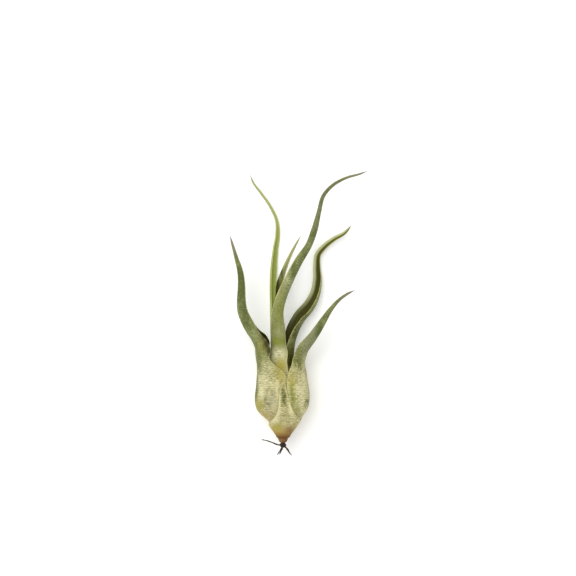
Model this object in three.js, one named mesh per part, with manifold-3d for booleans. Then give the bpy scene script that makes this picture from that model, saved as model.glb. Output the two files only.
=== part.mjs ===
// An air plant (a bulbous tillandsia) as it comes off its perch: a pouched bulb of overlapping leaf
// sheaths, six channelled leaves that wave up out of it, two short scales, and a short stem with a
// tuft of wiry roots. It lies on its back on a table.
//
// Millimetres. X is to the right of the plant's front, Y runs from its roots to its leaf tips, and Z is
// up off the table. The origin is on the table, at the small flat that the back scale rests on.
//
// An azimuth is an angle round the plant's own axis, in degrees: 0 is the front (up, off the table),
// 90 the plant's right, 180 its back and -90 its left.

import * as THREE from "three";
import { mergeVertices } from "three/addons/utils/BufferGeometryUtils.js";
import Module from "manifold-3d";

// ---- driving dimensions -------------------------------------------------------------------------

const AXIS_HEIGHT = 14.6; // the bulb's axis above the table
const FLATTENING = 0.87; // the plant's depth as a share of a round plant's
const AXIS_OFFSET = -1.2; // the bulb swells to the left of its stem by this much...
const OFFSET_FROM = -16; // ...from this height
const OFFSET_TO = -6; // ...to this one

const SHEATH_PITCH = 1.55; // from one sheath's outer face to the next one's inside it
const SHEATH_THICK = 1.0; // at a sheath's middle
const MARGIN_THICK = 0.72; // at every leaf's two edges
const STEM_RADIUS = 2.7;
const STEM_GAP = 0.35; // between the stem and the leaf bases that clasp it
const TIP_THICK = 0.75;

const BASE_BELOW = -6; // every leaf leaves the stem below this height
const NECK_FROM = 8; // from here up to NECK_TO a sheath thickens and narrows into its blade
const NECK_TO = 30;
const DENTS_FADE_FROM = 12; // from here up to DENTS_FADE_TO the shared hollows die out
const DENTS_FADE_TO = 20;
const LEAN_FROM = 12; // from here up to LEAN_TO a leaf's sections turn square to the blade
const LEAN_TO = 38;

const ACROSS = 9; // points across a leaf, on each of its faces
const ARC_STEPS = 24; // in the search for how far an arc reaches
const ROW_CLEAR = 0.6; // the least distance between two rows
const TANGENT_STEP = 0.8; // how far to each side a leaf's direction is taken over
const LEAST_HOLLOW = 0.3; // a slim blade's inner face has at least this share of its radius
const TAPER = 1.5; // a blade thins to its tip by this power of the way along
const BLADE_STEP = 4.4; // between the rows of a blade
const CLOSE = 0.01; // near enough, where a height is searched for

const STEM = { bottom: -23.4, top: -7.5, sides: 12, bends: [-15, -12.5, -10.5] };
const KNOB = { y: -25.2, radius: 1.8, squash: 0.82 }; // the woody knob that the roots grow from
const GOLDEN_ANGLE = 137.5;
const ROOTS = {
  count: 5,
  thick: 0.9,
  sides: 6,
  steps: 9,
  wave: 0.35, // how far a root waves along the plant's axis...
  waveTurn: 6, // ...and how far round, in radians, its wave goes
  curl: 1.4, // it drops by this power of the way along
  first: { azimuth: -84, reach: 12.5, drop: -3.4, bend: 8 },
  seed: 11,
};

const TABLE = { size: 60, deep: 10 };

// The bulb's outline: how far the outermost scales stand from the axis, at heights along it.
const BULB_OUTLINE = [
  { y: -23, r: 3 },
  { y: -21.3, r: 3.7 },
  { y: -19, r: 5 },
  { y: -16, r: 7.3 },
  { y: -12.8, r: 10.1 },
  { y: -9.5, r: 13.1 },
  { y: -6.5, r: 15.7 },
  { y: -3, r: 17.2 },
  { y: 1, r: 17.6 },
  { y: 6, r: 17.3 },
  { y: 12, r: 16.5 },
  { y: 18, r: 15.7 },
  { y: 24, r: 15.2 },
];

// The heights at which every sheath has a row of points, so that nested sheaths stay parallel.
const SHEATH_ROWS = [
  -20, -18.5, -17, -15.5, -14, -12.5, -11, -9.5, -8, -6, -3.5, -0.5, 2.5, 5.5, 8.5, 12,
];

// Hollows and swellings that all the sheaths share, as shares of their radius.
const DENTS = [
  { azimuth: 8, y: 7, reach: 18, rise: 10, amount: -0.11 }, // the valley where the two big sheaths meet
  { azimuth: -48, y: -1, reach: 26, rise: 7, amount: 0.035 }, // the left sheath's pouch
];

// ---- the leaves ---------------------------------------------------------------------------------
//
// level    how many sheaths lie outside this one
// back     the azimuth that the sheath's back faces
// sheath   how far it wraps to each side of that azimuth, in degrees, at heights along the axis, and
//          how deep it sinks there towards the axis
// neck     the same above the closed bulb, with the sheath's own distance r from the axis
// blade    the middle of the blade's width and depth as seen from the front (x, y, z), its width, how
//          far its channel curls up each side (cup, degrees), and the azimuth its back faces

const LEAVES = [
  {
    name: "leaf_left",
    level: 2,
    back: -60,
    colour: 0x8f9a6c,
    thick: 1.9,
    sheath: [
      { y: -16, left: 98, right: 98 },
      { y: -8, left: 94, right: 90 },
      { y: 0, left: 90, right: 84 },
      { y: 8.5, left: 86, right: 80 },
    ],
    neck: [
      { y: 12, r: 13.6, left: 82, right: 79.5, back: -61 },
      { y: 16, r: 13.4, left: 78, right: 72, back: -65 },
      { y: 20.5, r: 13.5, left: 70, right: 58, back: -75 },
    ],
    blade: [
      { x: -11.5, y: 25, z: 15.4, wide: 7.8, cup: 68, back: -86 },
      { x: -11.4, y: 29.6, z: 16.5, wide: 8.8, cup: 88, back: -88 },
      { x: -12.35, y: 32.6, z: 17.2, wide: 8.7, cup: 94, back: -87 },
      { x: -14.75, y: 35.8, z: 18, wide: 7.1, cup: 100, back: -86 },
      { x: -17.5, y: 39.4, z: 18.8, wide: 6.5, cup: 104, back: -85 },
      { x: -19.2, y: 42.6, z: 19.4, wide: 6.6, cup: 106, back: -83 },
      { x: -22.25, y: 49.3, z: 20.2, wide: 6, cup: 110, back: -80 },
      { x: -23.05, y: 56, z: 20.4, wide: 5.2, cup: 112, back: -76 },
      { x: -23, y: 63.5, z: 20, wide: 4.45, cup: 112, back: -70 },
      { x: -23.65, y: 71.5, z: 19.3, wide: 3.6, cup: 110, back: -66 },
      { x: -25.9, y: 79.5, z: 18.6, wide: 2.55, cup: 106, back: -62 },
      { x: -28.1, y: 87, z: 18.1, wide: 1.7, cup: 96, back: -60 },
      { x: -29.7, y: 92.2, z: 17.9, wide: 1.1, cup: 84, back: -60 },
    ],
  },
  {
    name: "leaf_right",
    level: 1,
    back: 72,
    colour: 0x929d74,
    thick: 1.8,
    sheath: [
      { y: -18, left: 98, right: 98 },
      { y: -8, left: 80, right: 92 },
      { y: 0, left: 64, right: 88 },
      { y: 8.5, left: 58, right: 84 },
    ],
    neck: [
      { y: 12, r: 14.9, left: 57, right: 80 },
      { y: 16, r: 14.5, left: 54, right: 74 },
      { y: 21, r: 13.6, left: 45, right: 64 },
    ],
    blade: [
      { x: 9.8, y: 25.5, z: 16.1, wide: 6.6, cup: 62, back: 73 },
      { x: 11.6, y: 29.6, z: 16.9, wide: 6.6, cup: 82, back: 74 },
      { x: 15.6, y: 34.5, z: 18, wide: 5.75, cup: 94, back: 74 },
      { x: 19.15, y: 39.6, z: 19, wide: 5.05, cup: 102, back: 72 },
      { x: 23.1, y: 45.8, z: 19.8, wide: 3.95, cup: 106, back: 68 },
      { x: 26.65, y: 51.1, z: 20.2, wide: 2.9, cup: 106, back: 64 },
      { x: 30.85, y: 55.85, z: 20.4, wide: 2.2, cup: 100, back: 60 },
      { x: 35.5, y: 59.3, z: 20.3, wide: 1.8, cup: 92, back: 56 },
      { x: 40.3, y: 61.6, z: 20, wide: 1.25, cup: 84, back: 54 },
    ],
  },
  {
    name: "leaf_back_right",
    level: 3,
    back: 130,
    colour: 0x7d8a52,
    thick: 1.6,
    sheath: [
      { y: -14, left: 96, right: 96 },
      { y: 0, left: 88, right: 88 },
      { y: 5.5, left: 84, right: 82 },
    ],
    neck: [
      { y: 10, r: 11.6, left: 84, right: 76, back: 127 },
      { y: 13, r: 10.4, left: 84, right: 75, back: 124 },
      { y: 16, r: 9, left: 84, right: 70, back: 120 },
      { y: 19, r: 7.9, left: 88, right: 62, back: 116 },
      { y: 22, r: 7.2, left: 92, right: 58, back: 112 },
    ],
    blade: [
      { x: 3.6, y: 31, z: 11.4, wide: 6.2, cup: 104, back: 106 },
      { x: 5.05, y: 38.4, z: 10, wide: 7.3, cup: 98, back: 118 },
      { x: 8.85, y: 46, z: 8.2, wide: 7.5, cup: 100, back: 129 },
      { x: 14.45, y: 52.75, z: 6.3, wide: 7.3, cup: 100, back: 134 },
      { x: 18.05, y: 59.9, z: 4.3, wide: 6.15, cup: 98, back: 140 },
      { x: 19.25, y: 67.5, z: 2.6, wide: 5.4, cup: 94, back: 154 },
      { x: 19.02, y: 75, z: 1.3, wide: 4.6, cup: 88, back: 166 },
      { x: 19.6, y: 81.4, z: 1.8, wide: 4.1, cup: 84, back: 172 },
      { x: 23.4, y: 86.2, z: 3, wide: 3.7, cup: 84, back: 174 },
      { x: 28.65, y: 90.3, z: 4.7, wide: 3.2, cup: 84, back: 174 },
      { x: 34.25, y: 93.5, z: 6.5, wide: 2.5, cup: 84, back: 172 },
      { x: 38.7, y: 98.2, z: 8, wide: 1.2, cup: 80, back: 170 },
    ],
  },
  {
    name: "leaf_back_left",
    level: 4,
    back: -125,
    colour: 0x93a23f,
    thick: 1.4,
    sheath: [
      { y: -13, left: 92, right: 92 },
      { y: 0, left: 84, right: 84 },
      { y: 5.5, left: 80, right: 80 },
    ],
    neck: [
      { y: 10, r: 10, left: 74, right: 68 },
      { y: 16, r: 7.6, left: 66, right: 54 },
      { y: 22, r: 6, left: 52, right: 42 },
    ],
    blade: [
      { x: -4.65, y: 31, z: 11.2, wide: 4.7, cup: 72, back: -128 },
      { x: -4.85, y: 42, z: 9.2, wide: 4.8, cup: 82, back: -132 },
      { x: -5.2, y: 53, z: 6.8, wide: 4.4, cup: 90, back: -134 },
      { x: -5.45, y: 64, z: 4.6, wide: 4.2, cup: 94, back: -136 },
      { x: -5.1, y: 74, z: 3, wide: 4.1, cup: 96, back: -138 },
      { x: -4.2, y: 84, z: 1.9, wide: 3.5, cup: 96, back: -140 },
      { x: -2.95, y: 93, z: 1.2, wide: 3, cup: 96, back: -142 },
      { x: -3.5, y: 101, z: 1.5, wide: 2.25, cup: 94, back: -144 },
      { x: -7.2, y: 109, z: 2.4, wide: 1.9, cup: 92, back: -146 },
      { x: -12.1, y: 116, z: 3.8, wide: 1.6, cup: 90, back: -148 },
      { x: -16.5, y: 121.8, z: 5.2, wide: 1.3, cup: 86, back: -148 },
      { x: -18.6, y: 126.8, z: 6.4, wide: 1, cup: 80, back: -148 },
    ],
  },
  {
    name: "leaf_front",
    level: 5,
    back: -8,
    colour: 0x98a277,
    thick: 2.0,
    sheath: [
      { y: -11, left: 92, right: 92 },
      { y: -3, left: 86, right: 86 },
      { y: 2.5, left: 66, right: 64 },
      { y: 5.5, left: 48, right: 46 },
    ],
    neck: [
      { y: 8.5, r: 9.3, left: 42, right: 42 },
      { y: 12, r: 10.6, left: 40, right: 36, back: -9 },
      { y: 16, r: 10.4, left: 40, right: 34.5, back: -9 },
      { y: 22, r: 8.6, left: 42, right: 36, back: -10 },
    ],
    blade: [
      { x: -2.4, y: 30, z: 18.4, wide: 9.4, cup: 72, back: -8 },
      { x: -2.95, y: 40, z: 19.4, wide: 8.95, cup: 88, back: -1 },
      { x: -3.05, y: 49, z: 20.6, wide: 7.1, cup: 96, back: 14 },
      { x: -0.8, y: 58, z: 22, wide: 6.3, cup: 102, back: 32 },
      { x: 3.5, y: 67.8, z: 23.4, wide: 5.7, cup: 106, back: 38 },
      { x: 8.6, y: 77.7, z: 24.4, wide: 5.2, cup: 108, back: 32 },
      { x: 14.25, y: 86.6, z: 25, wide: 4.2, cup: 108, back: 18 },
      { x: 17.5, y: 95.2, z: 25.2, wide: 3.95, cup: 108, back: 4 },
      { x: 20.05, y: 105.1, z: 24.8, wide: 2.95, cup: 106, back: -4 },
      { x: 22.45, y: 113.8, z: 24, wide: 2.55, cup: 104, back: -8 },
      { x: 27.9, y: 120, z: 23.2, wide: 2.3, cup: 100, back: -10 },
      { x: 35.1, y: 124, z: 22.5, wide: 1.85, cup: 94, back: -10 },
      { x: 42.5, y: 126.15, z: 22, wide: 1.4, cup: 88, back: -10 },
      { x: 47.4, y: 127.95, z: 21.7, wide: 0.9, cup: 80, back: -10 },
    ],
  },
  {
    name: "leaf_inner",
    level: 6,
    back: 168,
    colour: 0x808c48,
    thick: 1.2,
    sheath: [
      { y: -9, left: 86, right: 86 },
      { y: 0, left: 78, right: 78 },
      { y: 5.5, left: 74, right: 74 },
    ],
    neck: [
      { y: 10, r: 6.6, left: 70, right: 70 },
      { y: 16, r: 4.4, left: 68, right: 68 },
      { y: 22, r: 3.2, left: 68, right: 68 },
    ],
    blade: [
      { x: -1.6, y: 30, z: 13.6, wide: 4.2, cup: 72, back: 168 },
      { x: -1.9, y: 44, z: 13, wide: 4.0, cup: 78, back: 168 },
      { x: -2.4, y: 57, z: 12.6, wide: 4.4, cup: 82, back: 166 },
      { x: -2, y: 65, z: 12.6, wide: 4.1, cup: 84, back: 164 },
      { x: 0.1, y: 71.6, z: 12.8, wide: 3.4, cup: 86, back: 162 },
      { x: 2.6, y: 78, z: 13.1, wide: 2.6, cup: 86, back: 160 },
      { x: 5.6, y: 84.2, z: 13.5, wide: 1.9, cup: 84, back: 160 },
      { x: 8, y: 88.6, z: 13.8, wide: 1.3, cup: 82, back: 160 },
      { x: 10.1, y: 92.2, z: 14, wide: 0.85, cup: 80, back: 160 },
    ],
  },
];

// Short scales that end on the bulb.
const SCALES = [
  {
    name: "scale_front",
    level: 0,
    back: 8,
    colour: 0xaab07f,
    sheath: [
      { y: -21, left: 86, right: 84 },
      { y: -16, left: 82, right: 82 },
      { y: -14.2, left: 74, right: 77 },
      { y: -12.3, left: 52, right: 65 },
      { y: -10.5, left: 34, right: 49 },
      { y: -8.4, left: 21.5, right: 31 },
      { y: -6.2, left: 15.5, right: 20 },
      { y: -3.4, left: 12.5, right: 13.4 },
      { y: 1.1, left: 11.5, right: 8.5 },
      { y: 5, left: 10.5, right: 5 },
      { y: 8.5, left: 7, right: 3 },
      { y: 11.2, left: 1.2, right: 1.4 },
    ],
  },
  {
    name: "scale_back",
    level: 0,
    back: 182,
    colour: 0xa3a878,
    sheath: [
      { y: -21, left: 84, right: 82 },
      { y: -17.5, left: 83, right: 80 },
      { y: -14.5, left: 80, right: 62 },
      { y: -12, left: 76, right: 46 },
      { y: -8, left: 64, right: 45 },
      { y: -3, left: 51, right: 46 },
      { y: 2, left: 40, right: 40 },
      { y: 7, left: 27, right: 28 },
      { y: 9.5, left: 20, right: 21.5, sink: 0.5 },
      { y: 12.5, left: 11, right: 11.5, sink: 1.8 },
      { y: 15.5, left: 1.6, right: 1.6, sink: 3.2 },
    ],
  },
];

// ---- curves and frames --------------------------------------------------------------------------

const { degToRad: radians, lerp, smoothstep, clamp } = THREE.MathUtils;

// The value of a field at t, on a smooth cubic through the keys; knots holds each key's own t.
function through(keys, knots, field, t) {
  const last = keys.length - 1;
  let i = 0;
  while (i < last - 1 && t > knots[i + 1]) i++;
  const slope = (k) => {
    const a = Math.max(k - 1, 0);
    const b = Math.min(k + 1, last);
    return (keys[b][field] - keys[a][field]) / (knots[b] - knots[a]);
  };
  const span = knots[i + 1] - knots[i];
  const u = clamp((t - knots[i]) / span, 0, 1);
  const u2 = u * u;
  const u3 = u2 * u;
  return (
    (2 * u3 - 3 * u2 + 1) * keys[i][field] +
    (u3 - 2 * u2 + u) * span * slope(i) +
    (3 * u2 - 2 * u3) * keys[i + 1][field] +
    (u3 - u2) * span * slope(i + 1)
  );
}

const heightsOf = (keys) => keys.map((k) => k.y);

const byHeight = (keys, field, y) => through(keys, heightsOf(keys), field, y);

// The unit vector that points away from the plant's axis at an azimuth.
const outward = (azimuth) =>
  new THREE.Vector3(Math.sin(radians(azimuth)), 0, Math.cos(radians(azimuth)));

const UP_PLANT = new THREE.Vector3(0, 1, 0);
const TO_RIGHT = new THREE.Vector3(1, 0, 0);
const TO_FRONT = new THREE.Vector3(0, 0, 1);

const axisX = (y) => AXIS_OFFSET * smoothstep(y, OFFSET_FROM, OFFSET_TO);

// The plant is worked out round and about its own axis; this flattens it and lays it on the table.
const onTable = (p) => new THREE.Vector3(p.x, p.y, AXIS_HEIGHT + FLATTENING * p.z);

const offAxis = (z) => (z - AXIS_HEIGHT) / FLATTENING;

// How much the shared hollows and swellings change a sheath's radius in one direction.
function dent(azimuth, y) {
  return DENTS.reduce((share, d) => {
    const turn = (((azimuth - d.azimuth + 180) % 360) + 360) % 360 - 180;
    return share + d.amount * Math.exp(-((turn / d.reach) ** 2) - ((y - d.y) / d.rise) ** 2);
  }, 1);
}

const sheathRadius = (level, y) => byHeight(BULB_OUTLINE, "r", y) - level * SHEATH_PITCH;

// A section's own axes: along the leaf, in towards its channel, and across it.
function sectionFrame(along, back) {
  const inwards = outward(back).negate();
  inwards.addScaledVector(along, -inwards.dot(along)).normalize();
  const across = new THREE.Vector3().crossVectors(inwards, along);
  return { inwards, across };
}

// A direction on a section's arc, turned from the back of the leaf by so many degrees.
function onArc({ inwards, across }, turn) {
  return new THREE.Vector3()
    .addScaledVector(across, Math.sin(radians(turn)))
    .addScaledVector(inwards, -Math.cos(radians(turn)));
}

// The lowest and highest that a section's arc, of radius 1, reaches in a direction.
function arcReach(frame, left, right, direction) {
  const seen = Array.from({ length: ARC_STEPS + 1 }, (_, k) =>
    onArc(frame, lerp(-left, right, k / ARC_STEPS)).dot(direction),
  );
  return [Math.min(...seen), Math.max(...seen)];
}

const middleOf = ([low, high]) => (low + high) / 2;

const leanAt = (y) => smoothstep(y, LEAN_FROM, LEAN_TO);

// How a section faces: along the plant's axis low on a leaf, turning to along the blade.
const facing = (blade, lean) => UP_PLANT.clone().lerp(blade, lean).normalize();

// ---- one leaf -----------------------------------------------------------------------------------

// The height at which a sheath of this level and thickness first clears the stem.
function baseHeight(level, thick) {
  let low = BULB_OUTLINE[0].y;
  let high = BASE_BELOW;
  while (high - low > CLOSE) {
    const y = (low + high) / 2;
    if (sheathRadius(level, y) < STEM_RADIUS + STEM_GAP + thick) low = y;
    else high = y;
  }
  return high;
}

// A section square to the plant's axis and round it.
function axisKey(y, radius, { back, left, right, thick, denting }) {
  const frame = sectionFrame(UP_PLANT, back);
  return {
    cx: axisX(y),
    cy: y,
    cz: 0,
    mx: axisX(y) + radius * middleOf(arcReach(frame, left, right, TO_RIGHT)),
    my: y,
    mz: radius * middleOf(arcReach(frame, left, right, TO_FRONT)),
    radius,
    left,
    right,
    back,
    thick,
    denting,
    lean: leanAt(y),
  };
}

// The keys of a leaf, each a section: the centre of its arc (cx, cy, cz), the middle of the arc's
// width and depth (mx, my, mz), the arc's radius, how far it reaches to each side, its back's azimuth,
// its thickness, how far its plane leans from square to the plant's axis (0) to square to the blade
// (1), and how much of the shared hollows it takes.
function leafKeys(leaf) {
  const base = baseHeight(leaf.level, MARGIN_THICK);
  const top = leaf.sheath[leaf.sheath.length - 1].y;
  const between = SHEATH_ROWS.filter((y) => y > base + ROW_CLEAR && y < top - ROW_CLEAR);
  const sunk = leaf.sheath.map(({ y, sink = 0 }) => ({ y, sink }));
  const sheath = [base, ...between, top].map((y) =>
    axisKey(y, sheathRadius(leaf.level, y) - byHeight(sunk, "sink", y), {
      left: byHeight(leaf.sheath, "left", y),
      right: byHeight(leaf.sheath, "right", y),
      back: leaf.back,
      thick: y === base ? MARGIN_THICK : SHEATH_THICK,
      denting: 1,
    }),
  );
  const neck = (leaf.neck ?? []).map((n) =>
    axisKey(n.y, n.r, {
      left: n.left,
      right: n.right,
      back: n.back ?? leaf.back,
      thick: lerp(SHEATH_THICK, leaf.thick, smoothstep(n.y, NECK_FROM, NECK_TO)),
      denting: 1 - smoothstep(n.y, DENTS_FADE_FROM, DENTS_FADE_TO),
    }),
  );
  return [...sheath, ...neck, ...bladeKeys(leaf.blade ?? [], leaf.thick)];
}

// A blade's keys: each arc is sized and set so that, seen from the front, it has the stated width
// with its middle at the stated place.
function bladeKeys(blade, thick) {
  const spots = blade.map((b) => new THREE.Vector3(b.x, b.y, offAxis(b.z)));
  return blade.map((b, i) => {
    const next = spots[Math.min(i + 1, spots.length - 1)];
    const along = next.clone().sub(spots[Math.max(i - 1, 0)]).normalize();
    const lean = leanAt(b.y);
    const frame = sectionFrame(facing(along, lean), b.back);
    const sideways = new THREE.Vector3(along.y, -along.x, 0).normalize();
    const wide = arcReach(frame, b.cup, b.cup, sideways);
    const deep = arcReach(frame, b.cup, b.cup, TO_FRONT);
    const radius = b.wide / (wide[1] - wide[0]);
    const centre = spots[i]
      .clone()
      .addScaledVector(sideways, -radius * middleOf(wide))
      .addScaledVector(TO_FRONT, -radius * middleOf(deep));
    const share = i / (blade.length - 1);
    return {
      cx: centre.x,
      cy: centre.y,
      cz: centre.z,
      mx: spots[i].x,
      my: spots[i].y,
      mz: spots[i].z,
      radius,
      left: b.cup,
      right: b.cup,
      back: b.back,
      thick: lerp(thick, TIP_THICK, share ** TAPER),
      denting: 0,
      lean,
    };
  });
}

// How far along a leaf each of its keys is, measured along its back.
function leafKnots(keys) {
  const spine = keys.map((k) =>
    new THREE.Vector3(k.cx, k.cy, k.cz).addScaledVector(outward(k.back), k.radius),
  );
  const knots = [0];
  for (let i = 1; i < keys.length; i++) {
    knots.push(knots[i - 1] + spine[i].distanceTo(spine[i - 1]));
  }
  return knots;
}

// Where the leaf's rows of points go: on every key of its sheath, then evenly to its tip.
function rowPlaces(keys, knots) {
  const places = knots.filter((_, i) => keys[i].denting === 1);
  const from = places[places.length - 1];
  const length = knots[knots.length - 1];
  const rows = Math.round((length - from) / BLADE_STEP);
  for (let i = 1; i <= rows; i++) places.push(lerp(from, length, i / rows));
  return places;
}

// The leaf's two faces, as rows of points from its base to its tip.
function leafRows(leaf) {
  const keys = leafKeys(leaf);
  const knots = leafKnots(keys);
  const length = knots[knots.length - 1];
  const at = (field, t) => through(keys, knots, field, t);
  const spot = (x, y, z, t) => new THREE.Vector3(at(x, t), at(y, t), at(z, t));
  return rowPlaces(keys, knots).map((t) => {
    const before = spot("mx", "my", "mz", Math.max(t - TANGENT_STEP, 0));
    const along = spot("mx", "my", "mz", Math.min(t + TANGENT_STEP, length)).sub(before).normalize();
    const back = at("back", t);
    const frame = sectionFrame(facing(along, at("lean", t)), back);
    const centre = spot("cx", "cy", "cz", t);
    const row = { outer: [], inner: [] };
    for (let k = 0; k < ACROSS; k++) {
      const v = (2 * k) / (ACROSS - 1) - 1;
      const turn = lerp(-at("left", t), at("right", t), (v + 1) / 2);
      const shape = 1 + (dent(back + turn, centre.y) - 1) * at("denting", t);
      const wall = lerp(MARGIN_THICK, Math.max(at("thick", t), MARGIN_THICK), 1 - v * v);
      const outerRadius = at("radius", t) * shape;
      const innerRadius = Math.max(outerRadius - wall, outerRadius * LEAST_HOLLOW);
      const direction = onArc(frame, turn);
      row.outer.push(onTable(centre.clone().addScaledVector(direction, outerRadius)));
      row.inner.push(onTable(centre.clone().addScaledVector(direction, innerRadius)));
    }
    return row;
  });
}

// A closed solid between two faces that have the same rows, with both faces split the same way.
function skinned(rows) {
  const points = [];
  const index = [];
  const n = rows[0].outer.length;
  for (const row of rows) points.push(...row.outer, ...row.inner);
  const outer = (i, k) => i * 2 * n + k;
  const inner = (i, k) => i * 2 * n + n + k;
  const quad = (a, b, c, d) => index.push(a, b, c, a, c, d);
  for (let i = 0; i < rows.length - 1; i++) {
    for (let k = 0; k < n - 1; k++) {
      quad(outer(i, k), outer(i, k + 1), outer(i + 1, k + 1), outer(i + 1, k));
      index.push(inner(i, k), inner(i + 1, k + 1), inner(i, k + 1));
      index.push(inner(i, k), inner(i + 1, k), inner(i + 1, k + 1));
    }
    quad(inner(i, 0), outer(i, 0), outer(i + 1, 0), inner(i + 1, 0));
    quad(outer(i, n - 1), inner(i, n - 1), inner(i + 1, n - 1), outer(i + 1, n - 1));
  }
  const end = rows.length - 1;
  for (let k = 0; k < n - 1; k++) {
    quad(inner(0, k), inner(0, k + 1), outer(0, k + 1), outer(0, k));
    quad(outer(end, k), outer(end, k + 1), inner(end, k + 1), inner(end, k));
  }
  const geometry = new THREE.BufferGeometry().setFromPoints(points);
  geometry.setIndex(index);
  return geometry;
}

// ---- booleans -----------------------------------------------------------------------------------

const wasm = await Module();
wasm.setup();

function solid(geometry) {
  const bare = geometry.clone();
  bare.deleteAttribute("normal");
  bare.deleteAttribute("uv");
  const merged = mergeVertices(bare, 1e-4);
  return new wasm.Manifold(
    new wasm.Mesh({
      numProp: 3,
      vertProperties: new Float32Array(merged.getAttribute("position").array),
      triVerts: new Uint32Array(merged.index.array),
    }),
  );
}

function geometryOf(manifold) {
  const mesh = manifold.getMesh();
  const geometry = new THREE.BufferGeometry();
  geometry.setAttribute("position", new THREE.BufferAttribute(mesh.vertProperties, 3));
  geometry.setIndex(new THREE.BufferAttribute(mesh.triVerts, 1));
  return geometry;
}

// ---- stem and roots -----------------------------------------------------------------------------

// The stem is turned from [radius, height] pairs, and bends aside as the plant's axis does.
function stemGeometry() {
  const profile = [
    [0, STEM.bottom],
    [STEM_RADIUS * 0.5, STEM.bottom],
    [STEM_RADIUS * 0.85, STEM.bottom + 1.1],
    [STEM_RADIUS, STEM.bottom + 2.2],
    ...STEM.bends.map((y) => [STEM_RADIUS, y]),
    [STEM_RADIUS, STEM.top - 1.2],
    [STEM_RADIUS * 0.6, STEM.top - 0.3],
    [0, STEM.top],
  ];
  const stem = new THREE.LatheGeometry(
    profile.map(([radius, y]) => new THREE.Vector2(radius, y)),
    STEM.sides,
  );
  const points = stem.getAttribute("position");
  for (let i = 0; i < points.count; i++) {
    const point = new THREE.Vector3().fromBufferAttribute(points, i);
    point.x += axisX(point.y);
    points.setXYZ(i, ...onTable(point));
  }
  return stem;
}

// A repeatable draw from 0 to 1.
function seeded(seed) {
  let state = seed;
  return () => {
    state = (state * 1664525 + 1013904223) % 4294967296;
    return state / 4294967296;
  };
}

// A wiry root from the middle of the knob: it reaches out at an azimuth, bends round as it goes, and
// drops below the knob, or rises where the drop is negative.
function rootSolid({ azimuth, reach, drop, bend }) {
  const path = [0, 0.25, 0.5, 0.75, 1].map((share) =>
    outward(azimuth + bend * share * share)
      .multiplyScalar(reach * share)
      .setY(
        KNOB.y -
          drop * share ** ROOTS.curl +
          ROOTS.wave * Math.sin(ROOTS.waveTurn * share + azimuth),
      ),
  );
  const section = new THREE.Shape(
    Array.from({ length: ROOTS.sides }, (_, k) => {
      const turn = (2 * Math.PI * k) / ROOTS.sides;
      return new THREE.Vector2(Math.cos(turn), Math.sin(turn)).multiplyScalar(ROOTS.thick / 2);
    }),
  );
  return solid(
    new THREE.ExtrudeGeometry(section, {
      extrudePath: new THREE.CatmullRomCurve3(path.map(onTable)),
      steps: ROOTS.steps,
      bevelEnabled: false,
    }),
  );
}

// The roots and the woody knob that they grow from. The first goes off to the left, and the others
// follow round by the golden angle, each with a seeded reach, drop and bend.
function rootGeometry() {
  const draw = seeded(ROOTS.seed);
  const knob = new THREE.SphereGeometry(KNOB.radius, 12, 8);
  knob.scale(1, KNOB.squash, FLATTENING);
  knob.translate(0, KNOB.y, AXIS_HEIGHT);
  const others = Array.from({ length: ROOTS.count - 1 }, (_, i) => ({
    azimuth: ROOTS.first.azimuth + (i + 1) * GOLDEN_ANGLE,
    reach: 4 + 4 * draw(),
    drop: 3 + 4 * draw(),
    bend: 50 * (draw() - 0.5),
  }));
  return geometryOf(
    [ROOTS.first, ...others].reduce((tuft, root) => tuft.add(rootSolid(root)), solid(knob)),
  );
}

// ---- the plant ----------------------------------------------------------------------------------

const plant = new THREE.Group();

function addPiece(name, geometry, colour, roughness) {
  const material = new THREE.MeshStandardMaterial({ color: colour, roughness, metalness: 0 });
  const piece = new THREE.Mesh(geometry, material);
  piece.name = name;
  plant.add(piece);
}

// What lies below the table is cut off, which leaves the back scale its small flat to rest on.
const table = new THREE.BoxGeometry(TABLE.size, TABLE.size, TABLE.deep);
table.translate(0, 0, -TABLE.deep / 2);

for (const leaf of [...LEAVES, ...SCALES]) {
  const whole = skinned(leafRows(leaf));
  const rests = leaf.name === "scale_back";
  const geometry = rests ? geometryOf(solid(whole).subtract(solid(table))) : whole;
  addPiece(leaf.name, geometry, leaf.colour, 0.8);
}
addPiece("stem", stemGeometry(), 0xb8a878, 0.9);
addPiece("root_tuft", rootGeometry(), 0x3a2a1e, 0.9);

export default plant;
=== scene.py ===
"""An air plant: the looks of its leaves, scales, stem and roots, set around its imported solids.

Every leaf is one curved wall, and a function of three numbers: how far along it a point is, how far
across it, and on which face. The wall's cross-sections are arcs round the plant's axis in the bulb, and
turn square to the blade above it. Sizes in the leaf tables are millimetres, and meshes are in metres.

X is to the right of the plant's front, Y runs from its roots to its leaf tips, and Z is up off the
table. An azimuth is an angle round the plant's axis in degrees: 0 is the front (up), 90 its right.
"""

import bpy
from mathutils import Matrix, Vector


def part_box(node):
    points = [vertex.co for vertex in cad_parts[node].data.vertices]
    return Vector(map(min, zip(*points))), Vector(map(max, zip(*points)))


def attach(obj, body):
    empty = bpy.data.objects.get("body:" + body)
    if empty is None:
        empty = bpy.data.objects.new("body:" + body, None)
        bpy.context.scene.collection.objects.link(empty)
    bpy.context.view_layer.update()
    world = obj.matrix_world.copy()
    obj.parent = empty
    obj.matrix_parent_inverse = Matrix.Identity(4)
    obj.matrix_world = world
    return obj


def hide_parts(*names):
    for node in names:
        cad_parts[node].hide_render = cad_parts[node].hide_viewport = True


bl_info = {
    "name": "Air plant",
    "version": (1, 0, 0),
    "blender": (4, 5, 0),
    "location": "View3D > Sidebar > Air plant",
    "description": "Builds the leaves, scales, stem and roots of a bulbous air plant",
    "category": "Object",
}

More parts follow.
